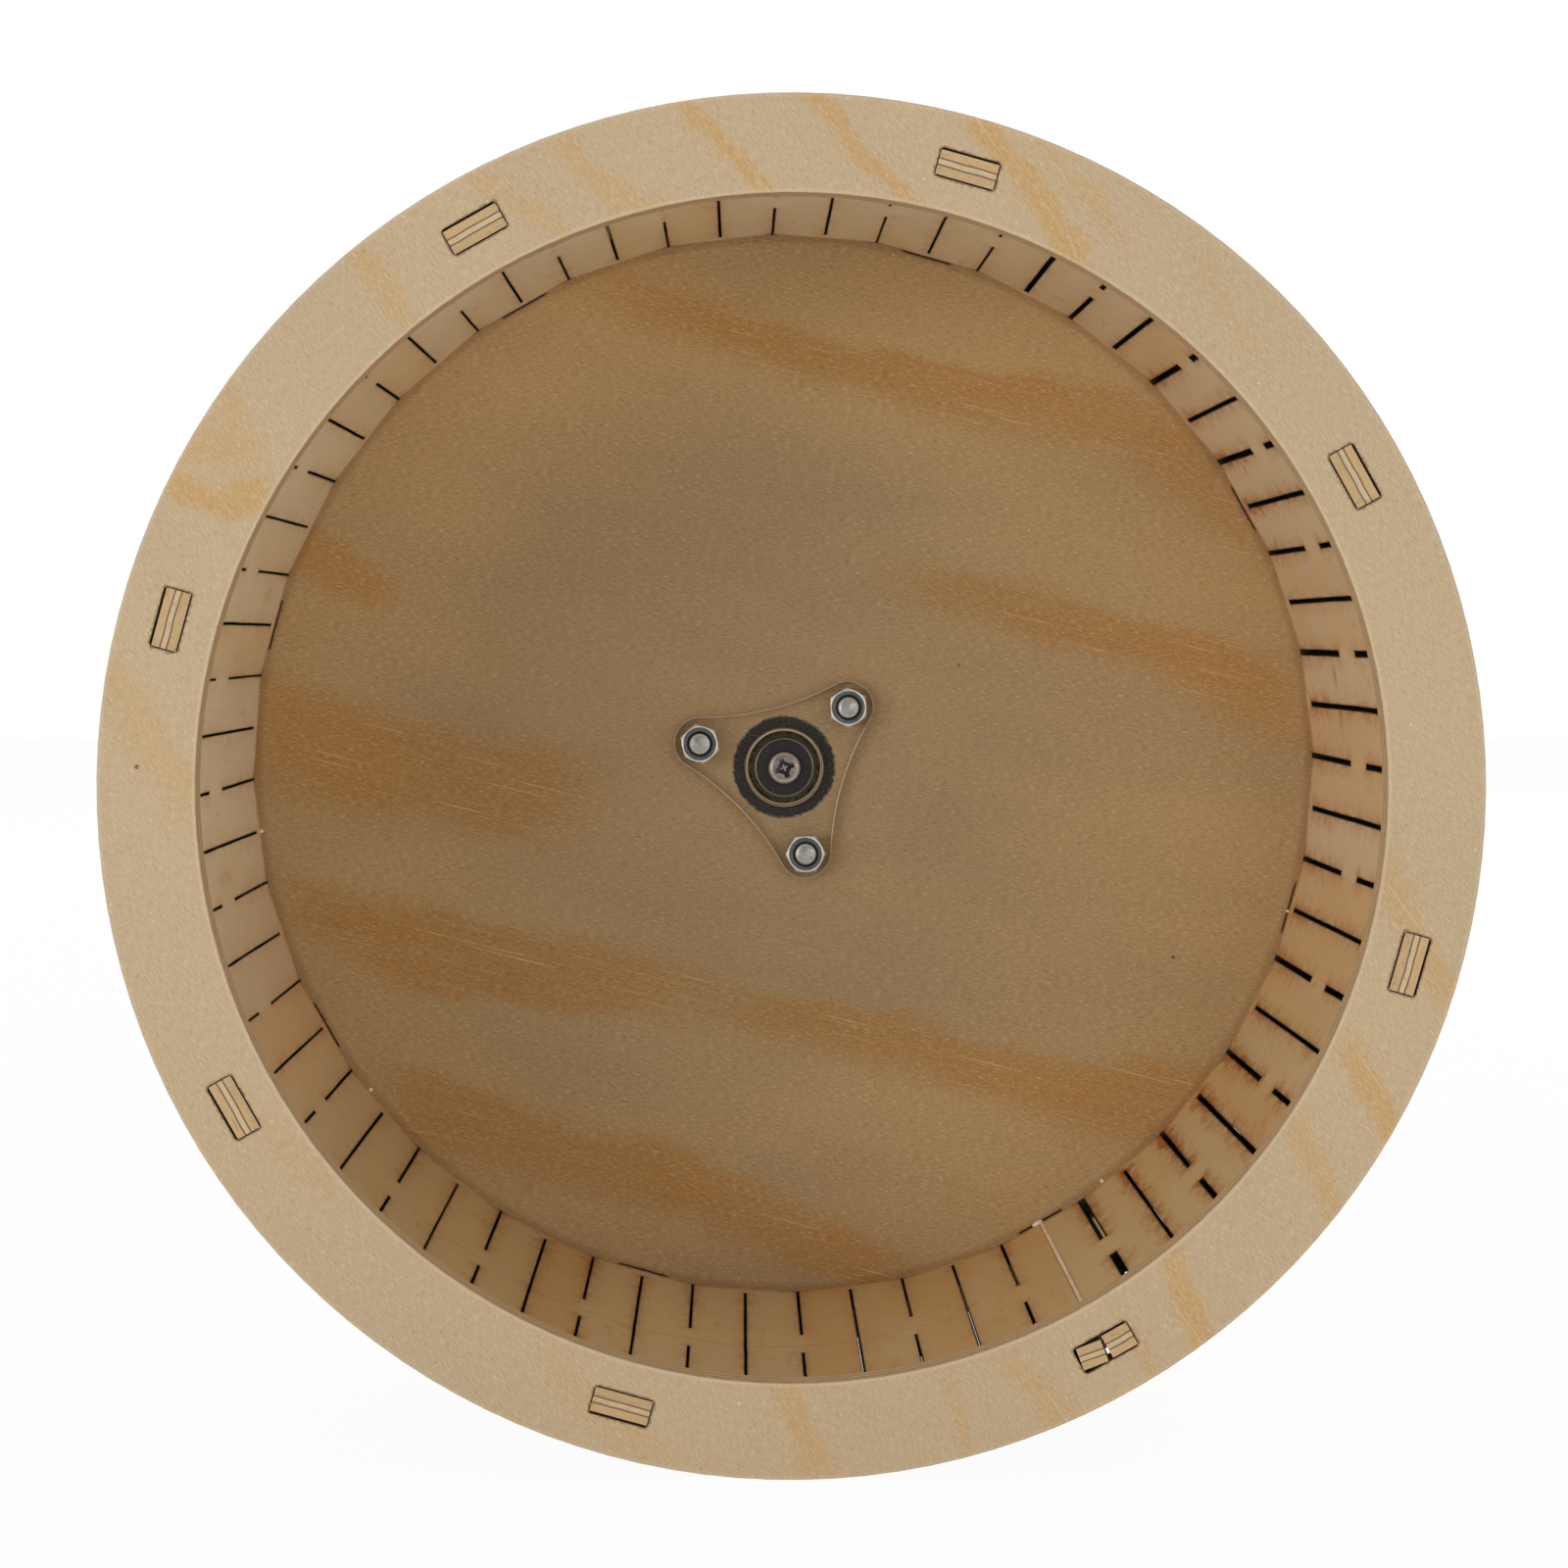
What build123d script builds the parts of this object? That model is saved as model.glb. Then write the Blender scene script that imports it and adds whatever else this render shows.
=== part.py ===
from build123d import *
import os
from math import cos, degrees, pi, radians, sin, tan

os.makedirs("parts", exist_ok=True)

# Hamster running wheel: a plywood drum on a small ball bearing and one axle screw.
# The wheel turns about Y. y = 0 is the face of the wall or post that the axle screw is
# driven into, the wheel stands in front of it towards -Y, and its mouth faces -Y. Z is up.

# Plywood drum
board = 4.2  # thickness of the ring, the disc and the strip
mouth_diameter = 200.0
lip_width = 5.7  # of the ring, from the mouth's edge out to the strip
rim_overhang = 6.6  # of ring and disc, past the outside of the strip
running_width = 80.0  # clear width between disc and ring
edge_easing = 0.25  # sanded edges of ring and disc

# Tabs of the strip and the pockets that hold them
tab_count = 8
first_tab_angle = 29.4
seam_tab = 6  # the tab that the two ends of the strip share, counted from the first
tab_width = 10.2
pocket_side_play = 0.35
pocket_end_play = 0.1
pocket_corner = 0.7

# Cuts that let the strip bend: edge cuts at its corners, long cuts between them
facets_per_tab = 4
edge_bridge = 4.0
middle_bridge = 12.0
fine_cut = 0.45
open_cut = 1.1
torn_cut = 1.9
cut_back_width = 0.25  # a cut narrows towards the outside of the drum
torn_back_width = 1.2
opened_facets = 11  # facets beside the seam whose cuts have spread
seam_gap = 0.4
seam_slat = 9.4  # the last slat at each end of the strip is cut short

# Hub plates, bolts, nuts and washers
bolt_circle_radius = 17.5
bolt_count = 3
first_bolt_angle = 43.8
plate_thickness = 3.0
plate_lobe_radius = 5.2
plate_waist_radius = 12.05
plate_bore = 15.2
bolt_hole = 4.4
bolt_diameter = 4.0
bolt_head_diameter = 8.0
bolt_head_height = 2.6
bolt_end_reach = 1.2  # thread that stands out of the nut
bolt_end_chamfer = 0.45
washer_diameter = 9.0
washer_thickness = 0.8
nut_across_flats = 7.0
nut_height = 3.2
nut_sides = 6
nut_turns = (32.0, 42.0, 1.5)  # how each nut happens to be turned
nut_chamfer_angle = 30.0
nut_countersink = 0.4
thread_play = 0.05

# Ball bearing
bearing_diameter = 16.0
bearing_width = 5.0
bearing_bore = 5.0
race_easing = 0.3
inner_race_diameter = 8.0
outer_race_bore = 13.0
ball_diameter = 3.175
ball_count = 7
ball_play = 0.03
shield_thickness = 0.2
shield_inset = 0.1
shield_play = 0.3
cage_thickness = 1.5
cage_rim = 0.25
cage_play = 0.06
cage_width = 1.1

# Axle
wall_gap = 2.0  # room between the bolt heads and the wall
screw_length = 35.0  # under the head
screw_diameter = 3.5  # over the thread, which is what the wall holds
shank_diameter = 2.6
screw_tip = 4.0
screw_head_diameter = 6.5
screw_head_height = 2.2
sleeve_bore = 3.7
sleeve_proud = 0.4
spacer_diameter = 7.4
axle_washer_diameter = 11.9
axle_washer_thickness = 0.8
cover_washer_diameter = 11.2
cover_washer_thickness = 1.0

# Pan heads and their cross recesses
head_side_share = 0.45  # of the head's height, before its side rounds over
head_flat_share = 0.55  # of the head's diameter, flat on top
recess_share = 0.62  # of the head's diameter
recess_slot_share = 0.17
recess_depth_share = 0.6  # of the head's height
recess_taper = 12.0
axle_recess_turn = 20.0
cut_over = 1.0  # how far a cutting shape runs past what it cuts

# Distances in front of the wall, worked out from the stack of pieces
washer_back = wall_gap + bolt_head_height
rear_plate_back = washer_back + washer_thickness
bearing_back = rear_plate_back + plate_thickness
hub_depth = max(board, bearing_width)  # the rear plate seats on the deeper of the two
disc_front = bearing_back + hub_depth
disc_back = disc_front - board
bearing_front = bearing_back + bearing_width
bearing_middle = bearing_back + bearing_width / 2
front_plate_front = disc_front + plate_thickness
nut_front = front_plate_front + nut_height
ring_back = disc_front + running_width
wheel_front = ring_back + board
sleeve_front = bearing_front + sleeve_proud
axle_washer_front = sleeve_front + axle_washer_thickness
head_seat = axle_washer_front + cover_washer_thickness
screw_free_length = screw_length - head_seat

# Radii of the drum
tread_radius = mouth_diameter / 2 + lip_width + board / 2  # middle of the strip's thickness
wheel_radius = tread_radius + board / 2 + rim_overhang

# Angles round the drum
tab_step = 360 / tab_count
facet_count = tab_count * facets_per_tab
facet_step = 360 / facet_count
seam_angle = first_tab_angle + seam_tab * tab_step


def in_front(depth):
    """A plane this far in front of the wall, seen from the mouth."""
    return Plane.XZ.offset(depth)


def corner_angles():
    """Angles of the strip's corners from the seam, over one turn."""
    half_seam = degrees(seam_slat / tread_radius)
    squeezed = facets_per_tab - 1
    squeezed_step = (tab_step - half_seam - facet_step / 2) / squeezed
    regular = facet_count - 2 * squeezed - 1
    first = tab_step - facet_step / 2
    near = [half_seam + squeezed_step * k for k in range(squeezed)]
    middle = [first + facet_step * k for k in range(regular + 1)]
    far = [360 - angle for angle in reversed(near)]
    return near + middle + far


corners = corner_angles()
facet_middles = [(a + b) / 2 for a, b in zip(corners, corners[1:])]


def on_circle(radius, angle):
    return (radius * cos(radians(angle)), radius * sin(radians(angle)))


def drum_polygon(radius):
    """Corner points of the bent strip on a circle of this radius."""
    return [on_circle(radius, seam_angle + angle) for angle in corners]


# Front ring
pocket_length = tab_width + 2 * pocket_end_play
pocket_width = board + 2 * pocket_side_play

with BuildPart() as front_ring:
    with BuildSketch(in_front(ring_back)):
        Circle(wheel_radius)
        Circle(mouth_diameter / 2, mode=Mode.SUBTRACT)
    extrude(amount=board)
    fillet(front_ring.edges().filter_by(GeomType.CIRCLE), edge_easing)
    with BuildSketch(in_front(ring_back)):
        with PolarLocations(tread_radius, tab_count, start_angle=first_tab_angle):
            RectangleRounded(pocket_width, pocket_length, pocket_corner)
    extrude(amount=board, mode=Mode.SUBTRACT)
front_ring.part.label = "front_ring"

# Back disc: bearing seat, bolt holes and the same pockets as the ring
with BuildPart() as back_disc:
    with BuildSketch(in_front(disc_back)):
        Circle(wheel_radius)
    extrude(amount=board)
    fillet(back_disc.edges().filter_by(GeomType.CIRCLE), edge_easing)
    with BuildSketch(in_front(disc_back)):
        Circle(bearing_diameter / 2)
        with PolarLocations(bolt_circle_radius, bolt_count, start_angle=first_bolt_angle):
            Circle(bolt_hole / 2)
        with PolarLocations(tread_radius, tab_count, start_angle=first_tab_angle):
            RectangleRounded(pocket_width, pocket_length, pocket_corner)
    extrude(amount=board, mode=Mode.SUBTRACT)
back_disc.part.label = "back_disc"

# Running strip: one board bent round, its ends meeting in the seam tab's pockets
outer_corner_radius = (tread_radius + board / 2) / cos(radians(facet_step / 2))
inner_corner_radius = (tread_radius - board / 2) / cos(radians(facet_step / 2))
edge_cut_length = (running_width - middle_bridge) / 2
long_cut_length = running_width - 2 * edge_bridge
cut_reach = board / 2 + cut_over


def bend_cut(angle, inside_width, outside_width):
    """Outline of one cut through the board, wider inside the drum than outside."""
    face = board / 2
    side = [
        (-cut_reach, inside_width / 2),
        (-face, inside_width / 2),
        (face, outside_width / 2),
        (cut_reach, outside_width / 2),
    ]
    other_side = [(x, -y) for x, y in reversed(side)]
    with PolarLocations(tread_radius, 1, start_angle=seam_angle + angle):
        Polygon(*side, *other_side)


def cut_widths(index):
    """Inside and outside widths of a facet's cuts, counted from the seam."""
    inside_width = open_cut if index < opened_facets else fine_cut
    return inside_width, cut_back_width


with BuildPart() as running_strip:
    with BuildSketch(in_front(disc_front)):
        with BuildLine():
            Polyline(*drum_polygon(outer_corner_radius), close=True)
        make_face()
        with BuildLine():
            Polyline(*drum_polygon(inner_corner_radius), close=True)
        make_face(mode=Mode.SUBTRACT)
    extrude(amount=running_width)
    for tab_back in (disc_back, ring_back):
        with BuildSketch(in_front(tab_back)):
            with PolarLocations(tread_radius, tab_count, start_angle=first_tab_angle):
                Rectangle(board, tab_width)
        extrude(amount=board)
    for cut_back in (disc_front, ring_back - edge_cut_length):
        with BuildSketch(in_front(cut_back)):
            for index, angle in enumerate(corners):
                if index == 0:
                    bend_cut(angle, torn_cut, torn_back_width)
                else:
                    bend_cut(angle, *cut_widths(index))
        extrude(amount=edge_cut_length, mode=Mode.SUBTRACT)
    with BuildSketch(in_front(disc_front + edge_bridge)):
        for index, angle in enumerate(facet_middles):
            bend_cut(angle, *cut_widths(index))
    extrude(amount=long_cut_length, mode=Mode.SUBTRACT)
    with BuildSketch(in_front(disc_back)):
        with PolarLocations(tread_radius, 1, start_angle=seam_angle):
            Rectangle(2 * cut_reach, seam_gap)
    extrude(amount=running_width + 2 * board, mode=Mode.SUBTRACT)
running_strip.part.label = "running_strip"

# Hub plates: three lobes round the bolts, joined by hollow sides
lobe_middle = bolt_circle_radius * cos(pi / bolt_count)
side_radius = (
    (plate_lobe_radius**2 - bolt_circle_radius**2 - plate_waist_radius**2)
    + 2 * lobe_middle * plate_waist_radius
) / (2 * (plate_waist_radius - lobe_middle - plate_lobe_radius))
side_centre_radius = plate_waist_radius + side_radius
bolt_step = 360 / bolt_count
bolt_angles = [first_bolt_angle + bolt_step * k for k in range(bolt_count)]


def hub_plate(name, back):
    """Three-lobed plate whose bore holds the bearing back by its outer race."""
    star = []
    for angle in bolt_angles:
        star.append(on_circle(bolt_circle_radius, angle))
        star.append(on_circle(side_centre_radius, angle + bolt_step / 2))
    with BuildPart() as plate:
        with BuildSketch(in_front(back)):
            with BuildLine():
                Polyline(*star, close=True)
            make_face()
            with Locations(*star[1::2]):
                Circle(side_radius, mode=Mode.SUBTRACT)
            with Locations(*star[0::2]):
                Circle(plate_lobe_radius)
                Circle(bolt_hole / 2, mode=Mode.SUBTRACT)
            Circle(plate_bore / 2, mode=Mode.SUBTRACT)
        extrude(amount=plate_thickness)
    plate.part.label = name
    return plate


front_hub_plate = hub_plate("front_hub_plate", disc_front)
rear_hub_plate = hub_plate("rear_hub_plate", rear_plate_back)


def across(angle):
    """A plane through one bolt's axis, its x outward and its y along the axle."""
    x, z = on_circle(bolt_circle_radius, angle)
    return Plane(origin=(x, 0, z), x_dir=(1, 0, 0), z_dir=(0, 0, 1))


def cross_recess(face, turn, head_diameter, head_height):
    """Cut a tapering cross into a screw head, down from this plane."""
    arm = recess_share * head_diameter
    slot = recess_slot_share * head_diameter
    with BuildSketch(face) as cross:
        Rectangle(arm, slot, rotation=turn)
        Rectangle(arm, slot, rotation=turn + 90)
    depth = recess_depth_share * head_height
    extrude(cross.sketch, amount=-depth, taper=recess_taper, mode=Mode.SUBTRACT)


def pan_head(head_radius, seat, crown):
    """Half outline of a pan head, from the rim of its seat round to its crown."""
    rim = (head_radius, seat)
    shoulder = (head_radius, seat + (crown - seat) * head_side_share)
    flat_edge = (head_radius * head_flat_share, crown)
    Line(rim, shoulder)
    TangentArc(flat_edge, shoulder, tangent=(1, 0))
    Line(flat_edge, (0, crown))


def hub_bolt(number, angle):
    """Pan-head bolt from behind the hub, its chamfered end out of the nut."""
    x, z = on_circle(bolt_circle_radius, angle)
    radius = bolt_diameter / 2
    end = -nut_front - bolt_end_reach
    seat = -washer_back
    crown = seat + bolt_head_height
    with BuildPart() as bolt:
        with BuildSketch(across(angle)):
            with BuildLine():
                Polyline(
                    (0, crown),
                    (0, end),
                    (radius - bolt_end_chamfer, end),
                    (radius, end + bolt_end_chamfer),
                    (radius, seat),
                    (bolt_head_diameter / 2, seat),
                )
                pan_head(bolt_head_diameter / 2, seat, crown)
            make_face()
        revolve(axis=Axis((x, 0, z), (0, 1, 0)))
        recess_face = Plane(origin=(x, crown, z), x_dir=(1, 0, 0), z_dir=(0, 1, 0))
        cross_recess(recess_face, angle, bolt_head_diameter, bolt_head_height)
    bolt.part.label = f"hub_bolt_{number}"
    return bolt


def hub_nut(number, angle, turn):
    """Hexagon nut with both faces chamfered round and a countersunk thread."""
    x, z = on_circle(bolt_circle_radius, angle)
    flat = nut_across_flats / 2
    corner = flat / cos(pi / nut_sides)
    past_corner = corner + cut_over
    drop = (past_corner - flat) * tan(radians(nut_chamfer_angle))
    back, front = -front_plate_front, -nut_front
    thread = bolt_diameter / 2 + thread_play
    with BuildPart() as nut:
        with BuildSketch(Plane(origin=(x, back, z), x_dir=(1, 0, 0), z_dir=(0, -1, 0))):
            RegularPolygon(corner, nut_sides, rotation=turn)
        extrude(amount=nut_height)
        with BuildSketch(across(angle)):
            with BuildLine():
                Polyline(
                    (thread + nut_countersink, back),
                    (flat, back),
                    (past_corner, back - drop),
                    (past_corner, front + drop),
                    (flat, front),
                    (thread + nut_countersink, front),
                    (thread, front + nut_countersink),
                    (thread, back - nut_countersink),
                    close=True,
                )
            make_face()
        revolve(axis=Axis((x, 0, z), (0, 1, 0)), mode=Mode.INTERSECT)
    nut.part.label = f"hub_nut_{number}"
    return nut


def flat_ring(name, x, z, back, thickness, outer, inner):
    """A plain washer or tube whose axis runs along the axle."""
    with BuildPart() as washer:
        with BuildSketch(Plane(origin=(x, -back, z), x_dir=(1, 0, 0), z_dir=(0, -1, 0))):
            Circle(outer / 2)
            Circle(inner / 2, mode=Mode.SUBTRACT)
        extrude(amount=thickness)
    washer.part.label = name
    return washer


hub_fasteners = []
for number, angle in enumerate(bolt_angles, start=1):
    x, z = on_circle(bolt_circle_radius, angle)
    hub_fasteners.append(hub_bolt(number, angle))
    hub_fasteners.append(hub_nut(number, angle, nut_turns[number - 1]))
    hub_fasteners.append(
        flat_ring(f"hub_washer_{number}", x, z, washer_back, washer_thickness, washer_diameter, bolt_hole)
    )

# Ball bearing, its outer race in the disc and its inner race on the sleeve
pitch_radius = (inner_race_diameter + outer_race_bore) / 4
groove_radius = ball_diameter / 2 + ball_play
race_top = bearing_width / 2
race_plane = Plane(origin=(0, -bearing_middle, 0), x_dir=(1, 0, 0), z_dir=(0, 0, 1))


def bearing_race(name, inner, outer, seat_edges):
    """One grooved race; its seating edges are eased."""
    with BuildPart() as race:
        with BuildSketch(race_plane):
            with Locations(((inner + outer) / 4, 0)):
                Rectangle((outer - inner) / 2, bearing_width)
            with Locations((pitch_radius, 0)):
                Circle(groove_radius, mode=Mode.SUBTRACT)
        revolve(axis=Axis.Y)
        rims = race.edges().filter_by(GeomType.CIRCLE).sort_by(SortBy.RADIUS)
        chamfer(rims[-2:] if seat_edges == "outside" else rims[:2], race_easing)
    race.part.label = name
    return race


bearing_outer_race = bearing_race("bearing_outer_race", outer_race_bore, bearing_diameter, "outside")
bearing_inner_race = bearing_race("bearing_inner_race", bearing_bore, inner_race_diameter, "inside")

shield_bore = inner_race_diameter + 2 * shield_play
shield_back = bearing_back + shield_inset
shield_front = bearing_front - shield_inset - shield_thickness
bearing_rear_shield = flat_ring(
    "bearing_rear_shield", 0, 0, shield_back, shield_thickness, outer_race_bore, shield_bore
)
bearing_front_shield = flat_ring(
    "bearing_front_shield", 0, 0, shield_front, shield_thickness, outer_race_bore, shield_bore
)

with BuildPart(in_front(bearing_middle)) as bearing_balls:
    with PolarLocations(pitch_radius, ball_count):
        Sphere(ball_diameter / 2)
bearing_balls.part.label = "bearing_balls"

# Cage: a crown that holds the balls apart and stays closed on the mouth's side of them
cage_pocket_radius = ball_diameter / 2 + cage_play
cage_front = bearing_middle + cage_pocket_radius + cage_rim
with BuildPart(in_front(bearing_middle)) as bearing_cage:
    with BuildSketch(in_front(cage_front - cage_thickness)):
        Circle(pitch_radius + cage_width / 2)
        Circle(pitch_radius - cage_width / 2, mode=Mode.SUBTRACT)
    extrude(amount=cage_thickness)
    with PolarLocations(pitch_radius, ball_count):
        Sphere(cage_pocket_radius, mode=Mode.SUBTRACT)
bearing_cage.part.label = "bearing_cage"

# Axle: the screw clamps washers, sleeve and spacer against the wall, and its thread starts there
screw_head_front = head_seat + screw_head_height
with BuildPart() as axle_screw:
    with BuildSketch(Plane.XY):
        with BuildLine():
            Polyline(
                (0, -screw_head_front),
                (0, screw_free_length),
                (screw_diameter / 2, screw_free_length - screw_tip),
                (screw_diameter / 2, 0),
                (shank_diameter / 2, 0),
                (shank_diameter / 2, -head_seat),
                (screw_head_diameter / 2, -head_seat),
            )
            pan_head(screw_head_diameter / 2, -head_seat, -screw_head_front)
        make_face()
    revolve(axis=Axis.Y)
    cross_recess(
        in_front(screw_head_front), axle_recess_turn, screw_head_diameter, screw_head_height
    )
axle_screw.part.label = "axle_screw"

axle_washer = flat_ring(
    "axle_washer", 0, 0, sleeve_front, axle_washer_thickness, axle_washer_diameter, sleeve_bore
)
axle_cover_washer = flat_ring(
    "axle_cover_washer", 0, 0, axle_washer_front, cover_washer_thickness, cover_washer_diameter, sleeve_bore
)
axle_sleeve = flat_ring(
    "axle_sleeve", 0, 0, bearing_back, sleeve_front - bearing_back, bearing_bore, sleeve_bore
)
wall_spacer = flat_ring("wall_spacer", 0, 0, 0, bearing_back, spacer_diameter, sleeve_bore)

pieces = [
    front_ring,
    back_disc,
    running_strip,
    front_hub_plate,
    rear_hub_plate,
    *hub_fasteners,
    bearing_outer_race,
    bearing_inner_race,
    bearing_rear_shield,
    bearing_front_shield,
    bearing_balls,
    bearing_cage,
    axle_screw,
    axle_washer,
    axle_cover_washer,
    axle_sleeve,
    wall_spacer,
]
for piece in pieces:
    export_step(piece.part, f"parts/{piece.part.label}.step")
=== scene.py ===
"""Looks of the plywood hamster wheel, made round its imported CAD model."""

from copy import copy
from math import cos, degrees, exp, hypot, pi, radians, sin
from random import Random

import bpy
from mathutils import Matrix, Vector


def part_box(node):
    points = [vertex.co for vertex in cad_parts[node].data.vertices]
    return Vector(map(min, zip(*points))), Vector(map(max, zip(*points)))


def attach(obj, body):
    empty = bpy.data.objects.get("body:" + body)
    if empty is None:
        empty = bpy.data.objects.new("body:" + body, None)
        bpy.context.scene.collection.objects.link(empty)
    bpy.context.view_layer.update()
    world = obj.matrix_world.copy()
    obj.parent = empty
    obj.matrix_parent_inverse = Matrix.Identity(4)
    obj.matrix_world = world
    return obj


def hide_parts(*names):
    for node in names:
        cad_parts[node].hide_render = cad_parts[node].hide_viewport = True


bl_info = {
    "name": "Hamster Wheel Looks",
    "version": (1, 0, 0),
    "blender": (4, 5, 0),
    "location": "3D View > Sidebar > Hamster Wheel",
    "description": "Plywood, clear plates, hardware and studio for a packed hamster wheel",
    "category": "Object",
}

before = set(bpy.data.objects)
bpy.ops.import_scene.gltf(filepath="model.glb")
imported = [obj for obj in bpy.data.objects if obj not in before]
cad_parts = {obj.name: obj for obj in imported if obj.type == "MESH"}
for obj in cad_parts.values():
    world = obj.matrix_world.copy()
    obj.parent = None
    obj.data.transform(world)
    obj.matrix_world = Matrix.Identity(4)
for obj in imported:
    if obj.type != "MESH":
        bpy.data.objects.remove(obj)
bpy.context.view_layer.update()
MM = 0.001


def depth_of(node):
    """How far a node's back and front stand in front of the wall, in metres."""
    low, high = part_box(node)
    return -high.y, -low.y


DISC_BACK, DISC_FRONT = depth_of("back_disc")
RING_BACK, WHEEL_FRONT = depth_of("front_ring")
BOARD = DISC_FRONT - DISC_BACK
WHEEL_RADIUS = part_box("front_ring")[1].x
MOUTH = 100.0  # radius of the ring's mouth in mm, the unit of all the finishes


# Helpers for modelling


def only(piece):
    """Leave edit mode and make one piece the active and only selected one."""
    if bpy.context.object and bpy.context.object.mode != "OBJECT":
        bpy.ops.object.mode_set(mode="OBJECT")
    bpy.ops.object.select_all(action="DESELECT")
    piece.select_set(True)
    bpy.context.view_layer.objects.active = piece
    return piece


def start(kind, name, **sizes):
    """Add the primitive that a new piece is shaped from."""
    if bpy.context.object and bpy.context.object.mode != "OBJECT":
        bpy.ops.object.mode_set(mode="OBJECT")
    bpy.ops.object.select_all(action="DESELECT")
    getattr(bpy.ops.mesh, f"primitive_{kind}_add")(**sizes)
    piece = bpy.context.object
    piece.name = name
    piece.data.name = name
    return piece


def pick(piece, kind, test):
    """Go into edit mode with only the faces, edges or vertices selected whose middle passes a test."""
    only(piece)
    mesh = piece.data
    for parts in (mesh.polygons, mesh.edges, mesh.vertices):
        parts.foreach_set("select", [False] * len(parts))
    if kind == "FACE":
        for face in mesh.polygons:
            face.select = bool(test(face.center, face.normal))
    elif kind == "EDGE":
        for edge in mesh.edges:
            a, b = (mesh.vertices[i].co for i in edge.vertices)
            edge.select = bool(test((a + b) / 2, b - a))
    else:
        for vertex in mesh.vertices:
            vertex.select = bool(test(vertex.co))
    bpy.context.tool_settings.mesh_select_mode = (kind == "VERT", kind == "EDGE", kind == "FACE")
    bpy.ops.object.mode_set(mode="EDIT")


def pick_all(piece):
    """Go into edit mode with all of a piece selected."""
    only(piece)
    bpy.context.tool_settings.mesh_select_mode = (True, False, False)
    bpy.ops.object.mode_set(mode="EDIT")
    bpy.ops.mesh.select_all(action="SELECT")


def done():
    """Leave edit mode."""
    bpy.ops.object.mode_set(mode="OBJECT")


def settle(piece):
    """Move a piece's place, turn and scale into its mesh."""
    only(piece)
    bpy.ops.object.transform_apply(location=True, rotation=True, scale=True)


def modify(piece, kind, **settings):
    """Add a modifier and apply it."""
    only(piece)
    modifier = piece.modifiers.new(kind.title(), kind)
    for name, value in settings.items():
        setattr(modifier, name, value)
    bpy.ops.object.modifier_apply(modifier=modifier.name)


def cut_with(piece, cutter, operation):
    """Cut, join or trim a piece with another, which is used up."""
    modify(piece, "BOOLEAN", operation=operation, object=cutter, solver="EXACT")
    bpy.data.objects.remove(cutter)


def close_up(piece):
    """Merge doubles, drop slivers and turn the faces outwards."""
    pick_all(piece)
    bpy.ops.mesh.remove_doubles(threshold=2e-6)
    bpy.ops.mesh.dissolve_degenerate(threshold=2e-6)
    bpy.ops.mesh.normals_make_consistent(inside=False)
    done()


def copy_of(piece, name):
    """A copy with a mesh of its own."""
    twin = piece.copy()
    twin.data = piece.data.copy()
    twin.name = name
    twin.data.name = name
    bpy.context.scene.collection.objects.link(twin)
    return twin


def face_mouth(piece, x, depth, z, turn=0.0):
    """Turn a piece made along +Z to face the mouth, and put it this far in front of the wall."""
    piece.matrix_world = (
        Matrix.Translation((x, -depth, z)) @ Matrix.Rotation(radians(90), 4, "X") @ Matrix.Rotation(turn, 4, "Z")
    )
    settle(piece)


def soften(piece, angle=35):
    """Shade smooth, with edges sharper than an angle left hard."""
    only(piece)
    bpy.ops.object.shade_smooth_by_angle(angle=radians(angle))


def hand_over(piece, body, nodes, slot, *finishes):
    """Give a finished piece its materials, its body and the nodes it stands for. Its slot is not used."""
    piece.data.materials.clear()
    for finish in finishes:
        piece.data.materials.append(finish)
    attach(piece, body)
    if nodes:
        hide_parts(*nodes)


def dress(node, finish):
    """A CAD node keeps its shape and gets a finish."""
    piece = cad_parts[node]
    if not piece.material_slots:
        piece.data.materials.append(finish)
    for material_slot in piece.material_slots:
        material_slot.material = finish


def eased_copy(node, name, width, angle=25):
    """A copy of a CAD node with its loose triangles merged and its sharp edges broken."""
    piece = copy_of(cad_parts[node], name)
    piece.parent = None
    for key in list(piece.keys()):
        del piece[key]
    piece.hide_render = False
    pick_all(piece)
    bpy.ops.mesh.remove_doubles(threshold=1e-6)
    bpy.ops.mesh.dissolve_limited(angle_limit=radians(1))
    done()
    modify(piece, "BEVEL", width=width, segments=2, limit_method="ANGLE", angle_limit=radians(angle))
    soften(piece)
    return piece


# Shader maths


class Signal:
    """A value inside a material, which plain arithmetic works on."""

    def __init__(self, finish, socket):
        self.finish = finish
        self.socket = socket

    def __add__(self, other):
        return self.finish.math("ADD", self, other)

    __radd__ = __add__

    def __sub__(self, other):
        return self.finish.math("SUBTRACT", self, other)

    def __rsub__(self, other):
        return self.finish.math("SUBTRACT", other, self)

    def __mul__(self, other):
        return self.finish.math("MULTIPLY", self, other)

    __rmul__ = __mul__

    def __truediv__(self, other):
        return self.finish.math("DIVIDE", self, other)

    def __rtruediv__(self, other):
        return self.finish.math("DIVIDE", other, self)

    def __pow__(self, other):
        return self.finish.math("POWER", self, other)

    def __neg__(self):
        return self * -1

    def __abs__(self):
        return self.finish.math("ABSOLUTE", self)

    def __gt__(self, other):
        return self.finish.math("GREATER_THAN", self, other)

    def __lt__(self, other):
        return self.finish.math("LESS_THAN", self, other)


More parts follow.
